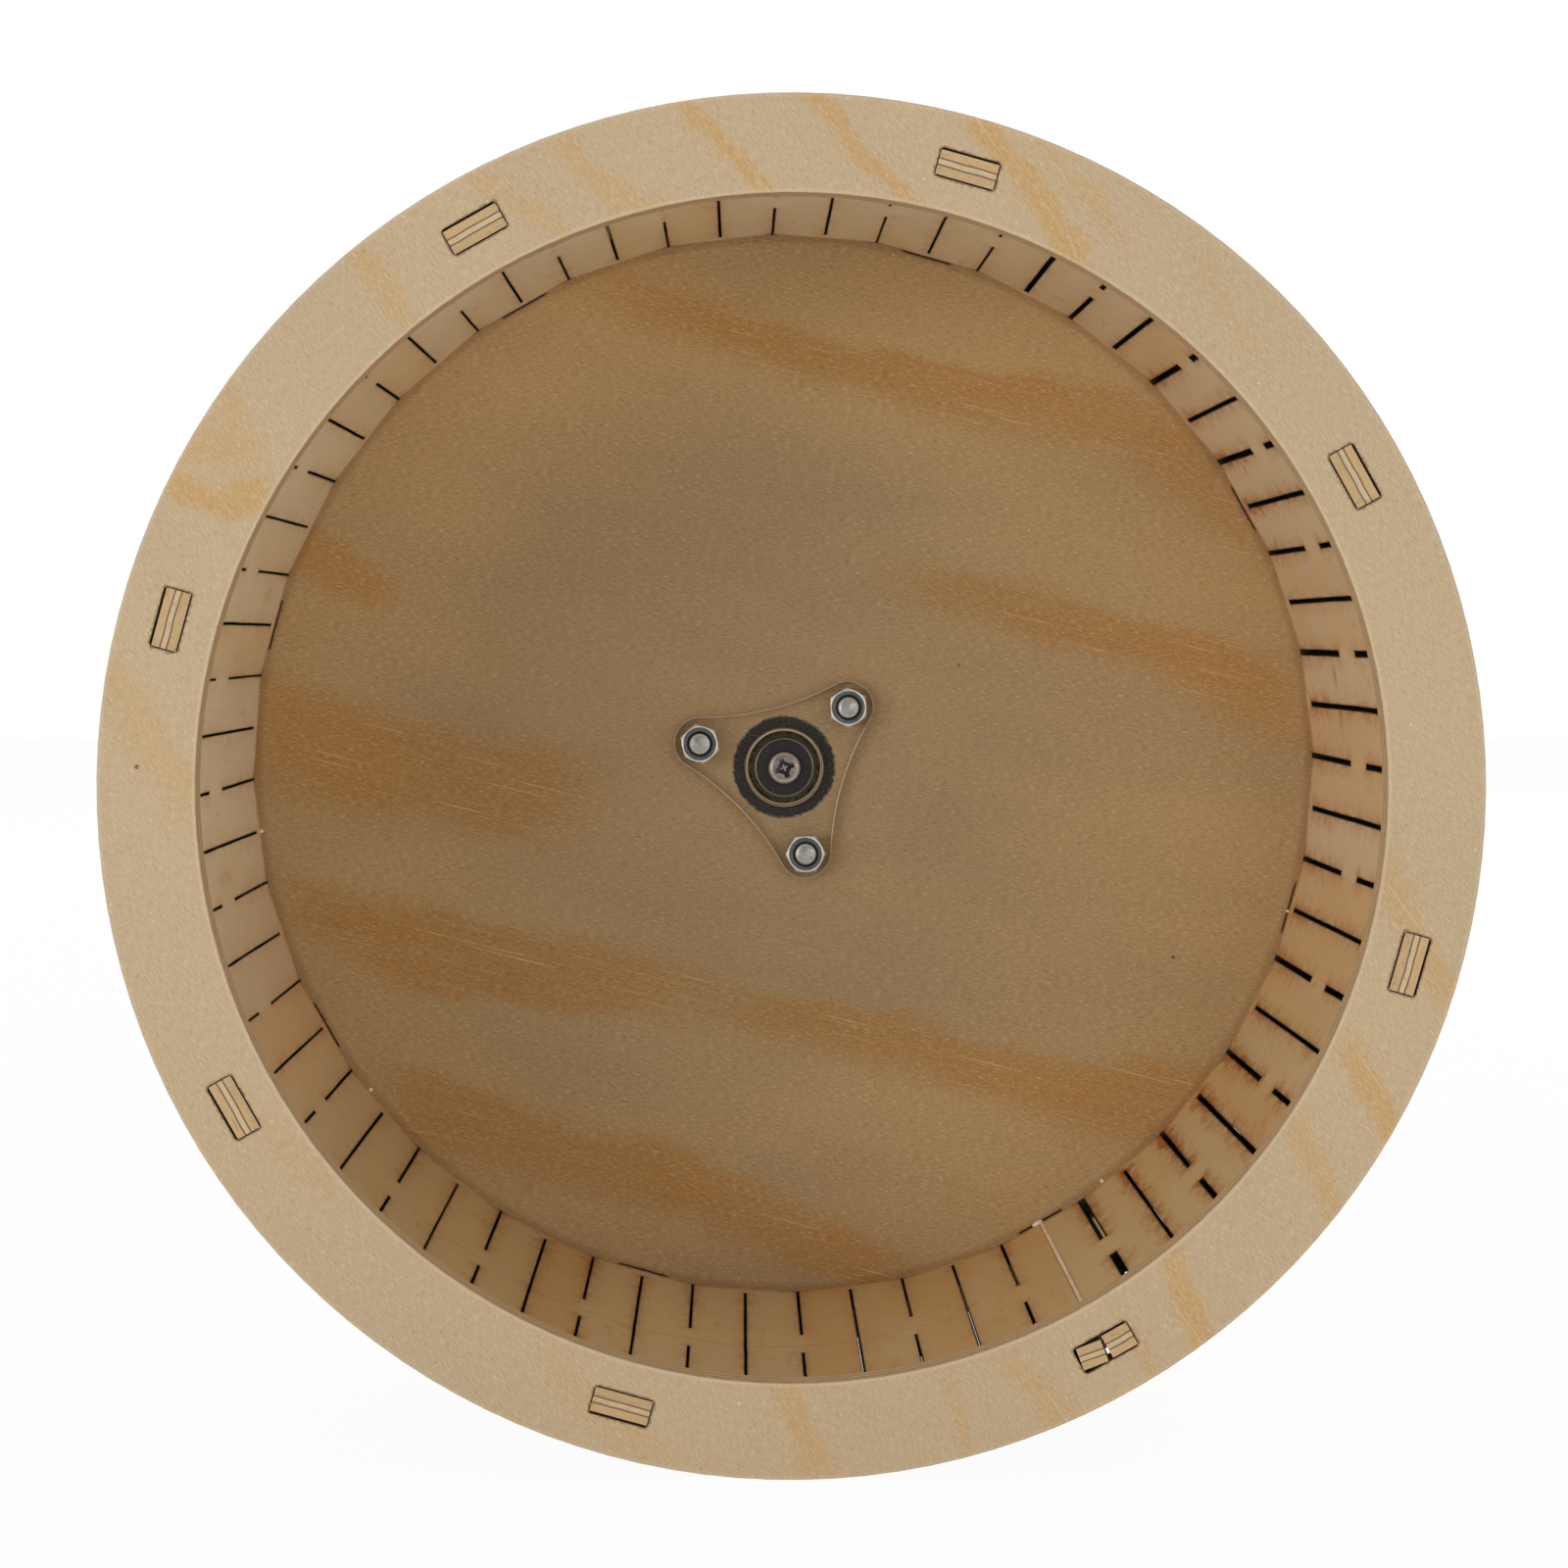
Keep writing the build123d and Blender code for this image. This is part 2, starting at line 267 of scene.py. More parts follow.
class Finish:
    """A material, written as expressions."""

    def __init__(self, name):
        self.material = bpy.data.materials.new(name)
        self.material.use_nodes = True
        self.tree = self.material.node_tree
        self.tree.nodes.clear()
        self.coordinates = self.tree.nodes.new("ShaderNodeTexCoord")

    def feed(self, socket, value):
        """Link a value of the surface to a socket, or set the socket."""
        if isinstance(value, Signal):
            self.tree.links.new(value.socket, socket)
        elif hasattr(value, "__len__") and len(value) == 3 and socket.type == "RGBA":
            socket.default_value = (*value, 1.0)
        else:
            socket.default_value = value

    def node(self, kind, settings=None, inputs=None, output=0):
        """Any node: its type, its settings, then the values or links of its sockets."""
        node = self.tree.nodes.new("ShaderNode" + kind)
        for name, value in (settings or {}).items():
            setattr(node, name, value)
        for name, value in (inputs or {}).items():
            self.feed(node.inputs[name], value)
        return Signal(self, node.outputs[output])

    def math(self, operation, *values):
        """Arithmetic on values of the surface."""
        return self.node("Math", {"operation": operation}, dict(enumerate(values)))

    def mix(self, factor, first, second, blend="MIX"):
        """Two colours mixed by a factor."""
        settings = {"data_type": "RGBA", "blend_type": blend, "clamp_factor": True}
        return self.node("Mix", settings, {0: factor, 6: first, 7: second}, output=2)

    def ease(self, value, low, high):
        """0 at low, 1 at high, smooth between; low may be the larger."""
        return self.node(
            "MapRange",
            {"interpolation_type": "SMOOTHSTEP"},
            {"Value": value, "From Min": low, "From Max": high},
        )

    def noise(self, vector, scale=1.0, detail=2.0, roughness=0.5):
        inputs = {"Vector": vector, "Scale": scale, "Detail": detail, "Roughness": roughness}
        return self.node("TexNoise", None, inputs)

    def vector(self, x, y, z):
        return self.node("CombineXYZ", None, {0: x, 1: y, 2: z})

    def parts(self, vector):
        """The three parts of a vector."""
        node = self.tree.nodes.new("ShaderNodeSeparateXYZ")
        self.feed(node.inputs[0], vector)
        return [Signal(self, output) for output in node.outputs]

    def place(self):
        """The surface point in the wheel's frame, in millimetres."""
        scaled = self.node(
            "VectorMath",
            {"operation": "SCALE"},
            {0: Signal(self, self.coordinates.outputs["Object"]), "Scale": 1 / MM},
        )
        return self.parts(scaled)

    def facing(self):
        return self.parts(Signal(self, self.coordinates.outputs["Normal"]))

    def attribute(self, name):
        return self.parts(self.node("Attribute", {"attribute_name": name}, None, output="Vector"))

    def bump(self, height, distance, strength=1.0):
        """Small relief: height from 0 to 1, distance in millimetres."""
        return self.node("Bump", None, {"Height": height, "Distance": distance * MM, "Strength": strength})

    def surface(self, color, roughness, normal=None, **constants):
        """The shader of an opaque finish."""
        inputs = {"Base Color": color, "Roughness": roughness}
        inputs.update({name.replace("_", " "): value for name, value in constants.items()})
        if normal is not None:
            inputs["Normal"] = normal
        return self.node("BsdfPrincipled", None, inputs)

    def close(self, shader):
        output = self.tree.nodes.new("ShaderNodeOutputMaterial")
        self.feed(output.inputs["Surface"], shader)
        return self.material


def linear(red, green, blue):
    """A colour given in 0 to 255 as the eye sees it, for a shader."""
    parts = (red / 255, green / 255, blue / 255)
    return tuple(part / 12.92 if part <= 0.04 else ((part + 0.055) / 1.055) ** 2.4 for part in parts)


# Wood


class Stroke:
    """One band of dark summer wood in a veneer: from a point to a point, in millimetres."""

    def __init__(self, x0, z0, x1, z1, width, strength, bow=0.0):
        self.start = (x0, z0)
        self.end = (x1, z1)
        self.width = width
        self.strength = strength
        self.bow = bow


def band(finish, x, z, wobble, stroke):
    """How much of a band shows at a point: soft on one side, sharper on the other."""
    (x0, z0), (x1, z1) = stroke.start, stroke.end
    length = hypot(x1 - x0, z1 - z0)
    ux, uz = (x1 - x0) / length, (z1 - z0) / length
    along = ((x - x0) * ux + (z - z0) * uz) / length
    across = (x - x0) * -uz + (z - z0) * ux + wobble
    if stroke.bow:
        across = across + (along * (1 - along)) * (4 * stroke.bow)
    side = finish.ease(across, -stroke.width * 1.2, -stroke.width * 0.1)
    other = finish.ease(across, stroke.width, stroke.width * 0.4)
    ends = finish.ease(along, -0.06, 0.22) * finish.ease(along, 1.06, 0.8)
    return side * other * ends * stroke.strength


def veneer(finish, x, z, grain_angle, look, strokes, fleck=1.0):
    """Rotary-cut softwood veneer on a face. Returns its colour, roughness and relief."""
    along = x * cos(grain_angle) + z * sin(grain_angle)
    across = z * cos(grain_angle) - x * sin(grain_angle)
    cloud = finish.noise(finish.vector(along * 0.011, across * 0.03, 3.1), 1.0, 3.0, 0.55)
    wobble = (finish.noise(finish.vector(along * 0.035, across * 0.06, 7.7), 1.0, 3.0, 0.6) - 0.5) * 12.0
    fine_wobble = (finish.noise(finish.vector(along * 0.2, across * 0.5, 1.3), 1.0, 3.0) - 0.5) * 3.0
    figure = 0.0
    for stroke in strokes:
        figure = band(finish, x, z, wobble + fine_wobble, stroke) + figure
    fibres = finish.noise(finish.vector(along * 0.7, across * 4.6, 2.0), 1.0, 2.0, 0.6)
    streaks = finish.noise(finish.vector(along * 0.04, across * 0.9, 9.0), 1.0, 3.0, 0.6)
    lines = finish.noise(finish.vector(along * 0.03, across * 2.4, 5.0), 1.0, 3.0, 0.55)
    grit = finish.noise(finish.vector(x * 2.2, z * 2.2, 4.0), 1.0, 2.0, 0.6)
    color = finish.mix(finish.ease(cloud, 0.3, 0.72), look.pale, look.grey)
    color = finish.mix(finish.ease(streaks, 0.5, 0.8) * 0.35, color, look.warm)
    color = finish.mix(finish.ease(lines, 0.60, 0.72) * 0.16, color, look.dark)
    figure = finish.math("MINIMUM", figure, 1.0)
    figure = figure * (finish.ease(streaks, 0.2, 0.62) * 0.35 + 0.65)
    color = finish.mix(figure, color, look.band)
    color = finish.mix(figure * finish.ease(lines, 0.52, 0.68) * 0.16, color, look.dark)
    scratch = finish.ease(lines, 0.36, 0.31)
    color = finish.mix(scratch * (figure * 0.6 + 0.14), color, look.light)
    color = finish.mix(finish.ease(fibres, 0.52, 0.68) * 0.42 * fleck, color, look.light)
    color = finish.mix(finish.ease(fibres, 0.46, 0.30) * 0.34 * fleck, color, look.dark)
    color = finish.mix(finish.ease(grit, 0.60, 0.72) * 0.40 * fleck, color, look.light)
    color = finish.mix(finish.ease(grit, 0.40, 0.28) * 0.22 * fleck, color, look.dark)
    for scale, size, strength, tone, layer in (
        (0.055, 0.022, 0.7, look.speck, 0.0),
        (0.16, 0.045, 0.3, look.dark, 2.0),
        (0.14, 0.032, 0.45, look.glint, 5.0),
    ):
        dots = finish.node("TexVoronoi", None, {"Vector": finish.vector(x, z, layer), "Scale": scale})
        color = finish.mix((dots < size) * strength, color, tone)
    roughness = 0.52 + fibres * 0.16
    relief = fibres * 0.6 + grit * 0.4
    return color, roughness, relief


class WoodLook:
    """The tones of one veneer."""

    def __init__(self, pale, grey, warm, band_tone, light, dark):
        self.pale = linear(*pale)
        self.grey = linear(*grey)
        self.warm = linear(*warm)
        self.band = linear(*band_tone)
        self.light = linear(*light)
        self.dark = linear(*dark)
        self.speck = linear(62, 42, 28)
        self.glint = tuple(min(1.0, part * 1.15) for part in self.light)

    def in_tone(self, tone):
        """The same veneer with another plain colour."""
        other = copy(self)
        other.pale = tuple(tone)
        return other


def plies(finish, through, along, across, looks):
    """The edge of the board: three plies of two directions with brown glue lines between them."""
    outer, core, inner = looks
    first, second = 0.36, 0.62
    grain = finish.noise(finish.vector(along * 0.4, through * 9.0, across * 0.4), 1.0, 3.0, 0.65)
    end_grain = finish.noise(finish.vector(along * 3.0, through * 3.0, across * 3.0), 1.0, 3.0, 0.7)
    waver = (finish.noise(finish.vector(along * 0.2, 0.0, across * 0.2), 1.0, 3.0) - 0.5) * 0.14
    level = through + waver
    color = finish.mix(finish.ease(level, first - 0.01, first + 0.01), outer, core)
    color = finish.mix(finish.ease(level, second - 0.01, second + 0.01), color, inner)
    color = finish.mix(finish.ease(grain, 0.5, 0.8) * 0.35, color, linear(222, 198, 160))
    color = finish.mix(finish.ease(grain, 0.45, 0.2) * 0.5, color, linear(130, 92, 56))
    color = finish.mix(finish.ease(end_grain, 0.60, 0.72) * 0.55, color, linear(96, 66, 40))
    for line in (first, second):
        glue = finish.ease(abs(level - line), 0.05, 0.012)
        color = finish.mix(glue * 0.8, color, linear(84, 54, 34))
    return color, end_grain


def pocket_distance(finish, x, z, radius):
    """How far a point of ring or disc is from the nearest pocket's edge, in millimetres."""
    layout = StripLayout()
    step = radians(360 / layout.tab_count)
    angle = finish.math("ARCTAN2", z, x) - radians(layout.first_tab_angle)
    off = angle - finish.math("ROUND", angle / step) * step
    sideways = abs(radius * finish.math("SINE", off)) - (layout.tab_width / 2 - 0.5)
    outward = abs(radius * finish.math("COSINE", off) - layout.tread) - (layout.board / 2 - 0.3)
    past_side = finish.math("MAXIMUM", sideways, 0.0)
    past_out = finish.math("MAXIMUM", outward, 0.0)
    return (past_side * past_side + past_out * past_out) ** 0.5 - 0.7


RING_LOOK = WoodLook(
    (198, 172, 135), (192, 168, 134), (199, 165, 116), (199, 158, 101), (228, 206, 172), (150, 121, 84)
)
DISC_LOOK = WoodLook(
    (164, 136, 94), (152, 127, 91), (162, 126, 78), (156, 116, 63), (200, 170, 124), (104, 77, 44)
)
# The strip's tones are set paler than its wood, painted light that makes up for the shade inside the drum; its
# outside is darkened back in strip_face_finish.
STRIP_LOOK = WoodLook(
    (240, 213, 172), (232, 207, 170), (232, 190, 136), (214, 160, 98), (248, 228, 196), (164, 128, 88)
)
EDGE_LOOKS = (linear(204, 170, 124), linear(214, 188, 150), linear(198, 166, 122))
CHAR = linear(30, 20, 16)
POCKET_CHAR = linear(44, 27, 16)
TOAST = linear(194, 122, 58)


def plywood_board(name, look, grain_angle, strokes, back, zones, fleck=1.0):
    """A flat plywood part: veneer on both faces, plies on every cut edge."""
    finish = Finish(name)
    x, y, z = finish.place()
    face = finish.ease(abs(finish.facing()[1]), 0.55, 0.8)
    color, roughness, relief = veneer(finish, x, z, grain_angle, look, strokes, fleck)
    through = (-y - back / MM) / (BOARD / MM)
    edge, end_grain = plies(finish, through, x, z, EDGE_LOOKS)
    radius = (x * x + z * z) ** 0.5
    gap = pocket_distance(finish, x, z, radius)
    fuzz = finish.noise(finish.vector(x * 1.1, z * 1.1, 6.0), 1.0, 3.0, 0.7)
    singed = finish.ease(gap + (fuzz - 0.5) * 1.3, 0.32, 0.0)
    color = finish.mix(singed * 0.6, color, linear(84, 52, 30))
    edge = finish.mix(finish.ease(gap, 0.4, 0.1) * 0.85, edge, POCKET_CHAR)
    color = zones(finish, color, radius, x, z)
    color = finish.mix(face, edge, color)
    roughness = finish.math("MINIMUM", roughness + (1 - face) * 0.2, 1.0)
    relief = relief * face + end_grain * (1 - face)
    normal = finish.bump(relief, 0.11, 0.6)
    return finish.close(finish.surface(color, roughness, normal, Specular_IOR_Level=0.35))


def rim_highlights(finish, color, radius, x, z):
    """The ring's mouth and outer edge are painted paler than its face: a painted highlight along both edges."""
    waver = (finish.noise(finish.vector(x * 0.3, z * 0.3, 1.0), 1.0, 3.0) - 0.5) * 0.7
    mouth = finish.ease(radius + waver, MOUTH + 0.8, MOUTH + 0.3)
    outside = finish.ease(radius + waver, WHEEL_RADIUS / MM - 1.0, WHEEL_RADIUS / MM - 0.2)
    return finish.mix(finish.math("MAXIMUM", mouth * 0.32, outside * 0.25), color, linear(222, 202, 170))


RING_STROKES = [
    Stroke(-24, 120, 2, 95, 2.2, 0.9),
    Stroke(-42, 110, -14, 94, 3.4, 0.6, 2.0),
    Stroke(-56, 104, -36, 88, 2.5, 0.5),
    Stroke(-2, 120, 22, 95, 2.5, 0.9),
    Stroke(26, 116, 50, 84, 3.4, 1.0, -3.0),
    Stroke(40, 112, 56, 90, 2.0, 0.5),
    Stroke(66, 92, 78, 72, 2.5, 0.35),
    Stroke(98, -6, 118, -44, 4.0, 0.6, 2.0),
    Stroke(92, -40, 106, -70, 3.5, 0.9),
    Stroke(84, -52, 98, -82, 2.5, 0.6),
    Stroke(62, -76, 72, -100, 3.0, 0.9),
    Stroke(54, -86, 62, -104, 2.0, 0.5),
    Stroke(34, -94, 50, -118, 4.4, 0.5, -3.0),
    Stroke(-86, 49, -106, 53, 3.4, 1.1, -2.0),
    Stroke(-88, 56, -106, 60, 5.5, 0.6),
    Stroke(-98, 72, -92, 60, 3.0, 0.5),
    Stroke(-74, 94, -62, 74, 3.0, 0.6),
    Stroke(-118, 26, -98, -6, 3.5, 0.4),
    Stroke(-4, -96, 4, -118, 3.5, 0.7),
    Stroke(24, -94, 30, -118, 2.0, 0.4),
    Stroke(-42, -92, -20, -112, 4.0, 0.35, 2.0),
    Stroke(-90, -52, -76, -72, 3.0, 0.3),
]

DISC_STROKES = [
    Stroke(-46, 100, 86, 66, 8.0, 0.8, 5.0),
    Stroke(-20, 90, 60, 74, 4.0, 0.4, 2.0),
    Stroke(66, 66, 108, 34, 9.0, 0.6, -4.0),
    Stroke(-106, 48, -76, 34, 6.0, 0.9, 2.0),
    Stroke(-114, 12, -34, -6, 14.0, 1.0, 4.0),
    Stroke(-100, 2, -50, -12, 5.0, 0.6),
    Stroke(18, 38, 110, 6, 8.0, 0.9, -5.0),
    Stroke(40, 30, 108, 20, 5.0, 0.4, 2.0),
    Stroke(-106, -24, -12, -46, 9.0, 1.0, 3.0),
    Stroke(-92, -38, -30, -50, 4.0, 0.5),
    Stroke(-22, -46, 96, -68, 7.0, 1.0, 2.0),
    Stroke(-84, -64, -14, -84, 10.0, 0.9, 3.0),
    Stroke(-30, -80, 28, -104, 8.0, 0.9, 2.0),
    Stroke(30, -62, 92, -80, 6.0, 0.6),
]


def disc_zones(finish, color, radius, x, z):
    """The charred seat of the bearing; on the front painted light, paler toward the rim, the top and the right, and
    painted shade, browner in the corner by the strip and near black under the strip.
    """
    fuzz = (finish.noise(finish.vector(x * 1.1, z * 1.1, 0.0), 1.0, 5.0, 0.8) - 0.5) * 2.2
    scorch = finish.ease(radius + fuzz, 10.5, 9.9)
    color = finish.mix(scorch, color, linear(20, 12, 7))
    dust = finish.noise(finish.vector(x * 2.6, z * 2.6, 2.0), 1.0, 3.0, 0.7)
    color = finish.mix(scorch * finish.ease(dust, 0.56, 0.66) * 0.6, color, linear(112, 92, 74))
    inside = finish.facing()[1] < -0.5
    # Painted light: the front is made paler toward the rim, the top, the right and the top left, and the whole disc
    # a little, to make up for the shade inside the drum.
    painted_light = finish.ease(radius, 28, 96) * 0.36 + finish.ease(z, 55, 100) * 0.25 + finish.ease(x, -20, 90) * 0.1
    painted_light = (painted_light + finish.ease(z - x, 70, 140) * 0.2) * inside + 1.03
    color = finish.mix(1.0, color, finish.node("CombineColor", None, {0: painted_light, 1: painted_light, 2: painted_light}), "MULTIPLY")
    # Painted shade: browner in the corner where the disc meets the strip.
    corner = finish.ease(radius, 103.8, 105.4) * finish.ease(radius, 112.0, 110.6) * inside
    color = finish.mix(corner * 0.3, color, linear(120, 76, 38))
    # Painted shade: near black under the strip, where its cuts show the disc.
    shade_under_strip = finish.ease(radius, 105.95, 106.15) * finish.ease(radius, 110.7, 110.4) * inside
    return finish.mix(shade_under_strip * 0.95, color, linear(16, 11, 8))


class WHEEL_OT_plywood(bpy.types.Operator):
    """Give the ring and the disc their veneer and ply edges"""

    bl_idname = "wheel.plywood"
    bl_label = "Ring and Disc"

    def execute(self, context):
        look = context.scene.wheel_look
        ring_look = RING_LOOK.in_tone(look.ring_tone)
        disc_look = DISC_LOOK.in_tone(look.disc_tone)
        ring = plywood_board("ring_plywood", ring_look, look.ring_grain, RING_STROKES, RING_BACK, rim_highlights)
        disc = plywood_board("disc_plywood", disc_look, look.disc_grain, DISC_STROKES, DISC_BACK, disc_zones, 1.1)
        dress("front_ring", ring)
        dress("back_disc", disc)
        return {"FINISHED"}


# The running strip


SEAM_GAP = 0.5
GLUE_DROPS = [  # angle on the drum, length along the corner and height, of specks of glue
    (299.0, 2.4, 1.5),
    (187.0, 0.8, 0.7),
    (218.0, 0.9, 0.5),
    (307.5, 0.8, 0.8),
    (344.0, 0.6, 0.5),
]


class StripLayout:
    """Where the strip's bending lines lie, counted from its seam. Lengths in mm, angles in degrees."""

    tab_count = 8
    first_tab_angle = 29.4
    seam_tab = 6
    facets_per_tab = 4
    seam_slat = 9.4
    tab_width = 10.2
    edge_bridge = 4.0
    middle_bridge = 12.0
    open_angle = 124.0  # cuts past it have stayed as fine as the saw left them
    torn_cut = 1.5
    seam_cut = 0.55
    edge_cut = 1.0
    long_cut = 0.85
    fine_cut = 0.45
    cross_lines = (14, 24)  # from both edges, so that the slats can bow

    def __init__(self):
        self.width = (RING_BACK - DISC_FRONT) / MM
        self.board = BOARD / MM
        outer_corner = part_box("running_strip")[1].x / MM
        facet_step = 360 / (self.tab_count * self.facets_per_tab)
        self.corner_radius = outer_corner - self.board / cos(radians(facet_step / 2))
        self.tread = self.corner_radius * cos(radians(facet_step / 2)) + self.board / 2
        self.seam_angle = self.first_tab_angle + self.seam_tab * 360 / self.tab_count
        half_seam = degrees(self.seam_slat / self.tread)
        squeezed = self.facets_per_tab - 1
        tab_step = 360 / self.tab_count
        near = [
            half_seam + (tab_step - half_seam - facet_step / 2) / squeezed * k for k in range(squeezed)
        ]
        regular = self.tab_count * self.facets_per_tab - 2 * squeezed
        middle = [tab_step - facet_step / 2 + facet_step * k for k in range(regular)]
        corners = near + middle + [360 - angle for angle in reversed(near)]
        self.lines = [0.0]
        for corner, following in zip(corners, corners[1:] + [None]):
            self.lines.append(corner)
            if following is not None:
                self.lines.append((corner + following) / 2)
        self.lines.append(360.0)

    def is_edge_cut(self, index):
        """Every other line is cut from both edges; the rest have one long cut."""
        return index % 2 == 1

    def cut_width(self, index):
        """How wide a line's cut stands open inside the drum."""
        if index < 3:
            return (self.torn_cut, self.seam_cut)[index - 1]
        if self.lines[index] > self.open_angle:
            return self.fine_cut
        return self.edge_cut if self.is_edge_cut(index) else self.long_cut


def near_angle(angle, centre, spread):
    """1 at an angle of the drum, falling off to both sides."""
    off = (angle - centre + 180) % 360 - 180
    return exp(-((off / spread) ** 2))


def scorch_at(angle):
    """How dark the cuts are burnt at an angle of the drum."""
    dark = [(7, 5, 0.6), (29, 7, 0.5), (43, 7, 0.55), (318, 20, 0.8), (350, 9, 0.35), (250, 30, 0.25)]
    return min(1.0, 0.22 + sum(depth * near_angle(angle, centre, spread) for centre, spread, depth in dark))


def lay_board(layout, name):
    """The strip flat: a board with lines for every cut, its cuts and the gaps between its tabs taken out."""
    tread, width, board = layout.tread, layout.width, layout.board
    length = 2 * pi * tread
    rng = Random(11)
    spots = [radians(angle) * tread for angle in layout.lines]
    cuts = []
    for index, spot in enumerate(spots[1:-1], start=1):
        wide = layout.cut_width(index) * rng.uniform(0.85, 1.2)
        reach = [rng.uniform(-0.7, 0.7) for _ in range(2)]
        if layout.is_edge_cut(index):
            low = (width - layout.middle_bridge) / 2 + reach[0]
            high = (width + layout.middle_bridge) / 2 + reach[1]
            spans = [(-board - 1, low), (high, width + board + 1)]
        else:
            spans = [(layout.edge_bridge + reach[0], width - layout.edge_bridge + reach[1])]
        cuts.append((spot, wide, spans, index))
    tabs = [radians(k * 360 / layout.tab_count) * tread for k in range(layout.tab_count + 1)]
    half_tab = layout.tab_width / 2

    piece = start("plane", name, size=1)
    pick_all(piece)
    bpy.ops.transform.resize(value=(length, width + 2 * board, 1))
    bpy.ops.transform.translate(value=(length / 2, width / 2, 0))
    across = [spot + side * wide / 2 for spot, wide, _, _ in cuts for side in (-1, 1)]
    across += [tab + side * half_tab for tab in tabs for side in (-1, 1)]
    for u in sorted(across):
        if 0 < u < length:
            bpy.ops.mesh.select_all(action="SELECT")
            bpy.ops.mesh.bisect(plane_co=(u, 0, 0), plane_no=(1, 0, 0))
    low, high = (width - layout.middle_bridge) / 2, (width + layout.middle_bridge) / 2
    from_edge = (0, layout.edge_bridge, *layout.cross_lines)
    for v in (*from_edge, low, width / 2, high, *(width - level for level in reversed(from_edge))):
        bpy.ops.mesh.select_all(action="SELECT")
        bpy.ops.mesh.bisect(plane_co=(0, v, 0), plane_no=(0, 1, 0))
    done()

    def is_waste(middle, normal):
        if middle.y < 0 or middle.y > width:
            return min(abs(middle.x - tab) for tab in tabs) > half_tab
        for spot, wide, spans, _ in cuts:
            if abs(middle.x - spot) < wide / 2:
                return any(a - 0.8 < middle.y < b + 0.8 for a, b in spans)
        return False

    pick(piece, "FACE", is_waste)
    bpy.ops.mesh.delete(type="FACE")
    done()
    return piece, cuts, tabs


class StripFold:
    """Gives the flat board its thickness, numbers its faces and folds it round the drum."""

    def __init__(self, layout, cuts, tabs):
        self.layout = layout
        self.tabs = tabs
        self.spots = [radians(angle) * layout.tread for angle in layout.lines]
        self.cuts = {index: (spot, wide, spans) for spot, wide, spans, index in cuts}
        self.rng = Random(5)

    def shape(self, piece):
        """All the steps in order."""
        self.roughen(piece.data)
        modify(piece, "SOLIDIFY", thickness=self.layout.board, offset=1.0)
        mesh = piece.data
        self.number_faces(mesh)
        self.flat = mesh.attributes.new("board", "FLOAT_VECTOR", "POINT")
        self.near_cuts = mesh.attributes.new("cuts", "FLOAT_VECTOR", "POINT")
        self.tone_slats(mesh)
        self.bend(mesh)
        self.tilt_half_tab(mesh)

    def line_of(self, u):
        """The nearest bending line."""
        return min(range(len(self.spots)), key=lambda i: abs(self.spots[i] - u))

    def slat_of(self, u):
        """The slat that a point lies on."""
        return max(i for i in range(len(self.spots) - 1) if self.spots[i] <= u)

    def roughen(self, mesh):
        """Uneven cuts and cut ends, tab ends sunk a little, and the gap of the seam."""
        width, rng = self.layout.width, self.rng
        for vertex in mesh.vertices:
            index = self.line_of(vertex.co.x)
            if index not in self.cuts:
                continue
            spot, wide, spans = self.cuts[index]
            if abs(abs(vertex.co.x - spot) - wide / 2) < 1e-3:
                for end in (end for span in spans for end in span):
                    if abs(vertex.co.y - round(end)) < 0.8 and 1 < end < width - 1:
                        vertex.co.y = end
                vertex.co.x += rng.uniform(-0.05, 0.05)
        sunk = [rng.uniform(0.05, 0.3) for _ in self.tabs]
        for vertex in mesh.vertices:
            if vertex.co.y < -0.5 or vertex.co.y > width + 0.5:
                tab = min(range(len(self.tabs)), key=lambda i: abs(self.tabs[i] - vertex.co.x))
                vertex.co.y += sunk[tab] if vertex.co.y < 0 else -sunk[tab]
        for vertex in mesh.vertices:
            vertex.co.x = min(max(vertex.co.x, SEAM_GAP / 2), self.spots[-1] - SEAM_GAP / 2)

    def number_faces(self, mesh):
        """0 for the two faces of the board, 1 for the walls of its cuts, 2 for its edges and tab ends."""
        width, end = self.layout.width, self.spots[-1]
        kinds = mesh.attributes.new("kind", "INT", "FACE")
        for face, kind in zip(mesh.polygons, kinds.data):
            middle = face.center
            if abs(face.normal.z) > 0.5:
                kind.value = 0
            elif middle.y < 0.01 or middle.y > width - 0.01 or middle.x < 0.5 or middle.x > end - 0.5:
                kind.value = 2
            else:
                kind.value = 1

    def tone_slats(self, mesh):
        """Each slat gets a tone of its own."""
        tones = mesh.attributes.new("slat", "FLOAT_VECTOR", "FACE")
        toasts = [self.rng.random() for _ in self.spots]
        for face, tone in zip(mesh.polygons, tones.data):
            tone.vector = (toasts[self.slat_of(max(face.center.x, 0))], 0, 0)
        self.wobbles = [(self.rng.uniform(-0.12, 0.12), self.rng.uniform(-0.1, 0.1))[0] for _ in self.spots]

    def line_point(self, index, v):
        """Where a bending line crosses the strip's inner face, this far in front of the disc."""
        layout = self.layout
        angle = radians(layout.seam_angle + layout.lines[index])
        low, high = max(index - 1, 0), min(index + 1, len(layout.lines) - 1)
        half = radians(layout.lines[high] - layout.lines[low]) / (1 if high - low == 1 else 2)
        corner = layout.corner_radius
        middle = corner * cos(half)
        from_edge = min(v, layout.width - v)
        share = min(max(from_edge / (layout.width / 2), 0), 1)
        at_edge, inside = (corner, middle) if layout.is_edge_cut(index) else (middle, corner)
        drift = min(max(from_edge / 8, 0), 1)
        bulge = near_angle(degrees(angle), 283, 9)
        radius = at_edge + (inside - at_edge) * share + (self.wobbles[index] - bulge) * drift
        return Vector((radius * cos(angle), radius * sin(angle)))

